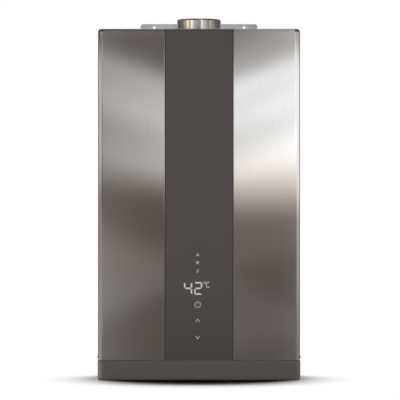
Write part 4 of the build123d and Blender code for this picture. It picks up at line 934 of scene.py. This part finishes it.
def make_studio():
    """Round room of soft boxes, which only mirrors and gloss can see."""
    centre = (cad_box[0] + cad_box[1]) / 2
    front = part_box("front_cover")[0].y
    spread = 1 + (front - centre.y + ring_radius) / view_distance
    level = view_height()
    mesh = bmesh.new()
    layer = mesh.verts.layers.float_color.new("glow")
    rings = []
    for radius, z, kind in studio_rings():
        height = (z - level) / spread
        ring = []
        for i in range(ring_turns):
            azimuth = 360 * i / ring_turns - 180
            x = radius * math.sin(math.radians(azimuth))
            y = -radius * math.cos(math.radians(azimuth))
            vert = mesh.verts.new((centre.x + x, centre.y + y, z))
            if kind == "wall":
                colour = wall_colour(azimuth, x / spread, z, height)
            elif kind == "ceiling":
                colour = ceiling_colour(azimuth, x / spread, y, height)
            else:
                colour = [floor_glow] * 3
            vert[layer] = (*colour, 1.0)
            ring.append(vert)
        rings.append(ring)
    skin(mesh, rings)
    mesh.faces.new(rings[0])
    mesh.faces.new(rings[-1])
    studio = linked("studio_wall", mesh, glow_material("studio_glow"))
    studio.visible_camera = False
    studio.visible_diffuse = False
    studio.visible_transmission = False
    studio.visible_volume_scatter = False
    studio.visible_shadow = False


def floor_material():
    """Pale paint with a painted shadow where the object stands on it, going over to white further off."""
    paint = Surface("pale_floor", floor_colour, roughness=0.9)
    paint.constant("Specular IOR Level", 0.0)
    x, y, z = shadow_from
    towards = paint.node("ShaderNodeCombineXYZ", inputs={"X": x, "Y": y, "Z": z}).outputs["Vector"]
    open_share = paint.node(
        "ShaderNodeAmbientOcclusion",
        {"samples": shadow_samples},
        {"Distance": shadow_reach, "Normal": towards},
    ).outputs["AO"]
    # painted shadow: darker colour where the object hides the space around the floor
    paint.paint(paint.blend(open_share, painted_shadow_colour, floor_colour, shadow_range))
    place = paint.stretched((1, white_squeeze, 1))
    away = paint.node("ShaderNodeVectorMath", {"operation": "LENGTH"}, {0: place}).outputs["Value"]
    seen = paint.node("ShaderNodeLightPath").outputs["Is Camera Ray"]
    far = paint.smooth_level(away, 0.0, 1.0, white_turn)
    share = paint.node("ShaderNodeMath", {"operation": "MULTIPLY"}, {0: far, 1: seen}).outputs[0]
    white = paint.node("ShaderNodeEmission", inputs={"Color": (1, 1, 1, 1), "Strength": 1.0}).outputs[0]
    mix = paint.node("ShaderNodeMixShader", inputs={0: share, 1: paint.shader.outputs[0], 2: white})
    out = paint.tree.nodes["Material Output"]
    paint.tree.links.new(mix.outputs[0], out.inputs["Surface"])
    return paint.material


def make_floor():
    """Floor just below the part."""
    mesh = bmesh.new()
    bmesh.ops.create_grid(mesh, x_segments=1, y_segments=1, size=floor_size)
    floor = linked("floor", mesh, floor_material())
    floor.location = ((cad_box[0] + cad_box[1]) / 2).xy.to_3d()
    floor.location.z = cad_box[0].z - floor_drop
    floor.visible_glossy = False
    return floor


def make_world():
    """White to the camera, mirrors and glass; softer as light."""
    world = bpy.data.worlds.new("studio")
    bpy.context.scene.world = world
    world.use_nodes = True
    tree = world.node_tree
    ground = tree.nodes["Background"]
    path = tree.nodes.new("ShaderNodeLightPath")
    seen = path.outputs["Is Camera Ray"]
    for name in ("Is Glossy Ray", "Is Transmission Ray"):
        either = tree.nodes.new("ShaderNodeMath")
        either.operation = "MAXIMUM"
        tree.links.new(seen, either.inputs[0])
        tree.links.new(path.outputs[name], either.inputs[1])
        seen = either.outputs[0]
    strength = tree.nodes.new("ShaderNodeMapRange")
    strength.inputs["To Min"].default_value = world_light
    strength.inputs["To Max"].default_value = 1.0
    tree.links.new(seen, strength.inputs["Value"])
    ground.inputs["Color"].default_value = (1.0, 1.0, 1.0, 1.0)
    tree.links.new(strength.outputs["Result"], ground.inputs["Strength"])


def spare(lamp, floor):
    """Keeps a lamp's light off the floor."""
    receivers = bpy.data.collections.new(lamp.name + "_receivers")
    receivers.objects.link(floor)
    receivers.collection_objects[0].light_linking.link_state = "EXCLUDE"
    lamp.light_linking.receiver_collection = receivers


def make_lamps(floor):
    """Area lamps that look at the part's middle."""
    target = (cad_box[0] + cad_box[1]) / 2
    for name, (place, size, power) in lamps.items():
        light = bpy.data.lights.new(name, "AREA")
        light.shape = "RECTANGLE"
        light.size, light.size_y = size
        light.energy = power
        lamp = bpy.data.objects.new(name, light)
        lamp.location = place
        lamp.rotation_euler = (target - Vector(place)).to_track_quat("-Z", "Y").to_euler()
        lamp.visible_glossy = False
        lamp.visible_camera = False
        bpy.context.scene.collection.objects.link(lamp)
        if name not in floor_lamps:
            spare(lamp, floor)


def view_height():
    """Height of the camera."""
    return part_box("front_cover")[1].z - view_drop


def make_camera():
    """Camera square in front of the cover."""
    data = bpy.data.cameras.new("camera")
    data.sensor_width = sensor_width
    data.lens = sensor_width * view_distance / view_span
    camera = bpy.data.objects.new("camera", data)
    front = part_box("front_cover")[0].y
    camera.location = (view_shift_x, front - view_distance, view_height())
    camera.rotation_euler = (math.pi / 2, 0, 0)
    bpy.context.scene.collection.objects.link(camera)
    bpy.context.scene.camera = camera


materials = make_materials()
dress_nodes(materials)
make_display()
for port in ("gas_inlet", "cold_inlet", "hot_outlet"):
    make_fitting(port + "_thread", port + "_fitting", materials["brass"])
make_pad("groove_pad_left", -1, materials["seal_rubber"])
make_pad("groove_pad_right", 1, materials["seal_rubber"])
make_studio()
studio_floor = make_floor()
make_world()
make_lamps(studio_floor)
make_camera()
bpy.context.scene.view_settings.view_transform = "Standard"
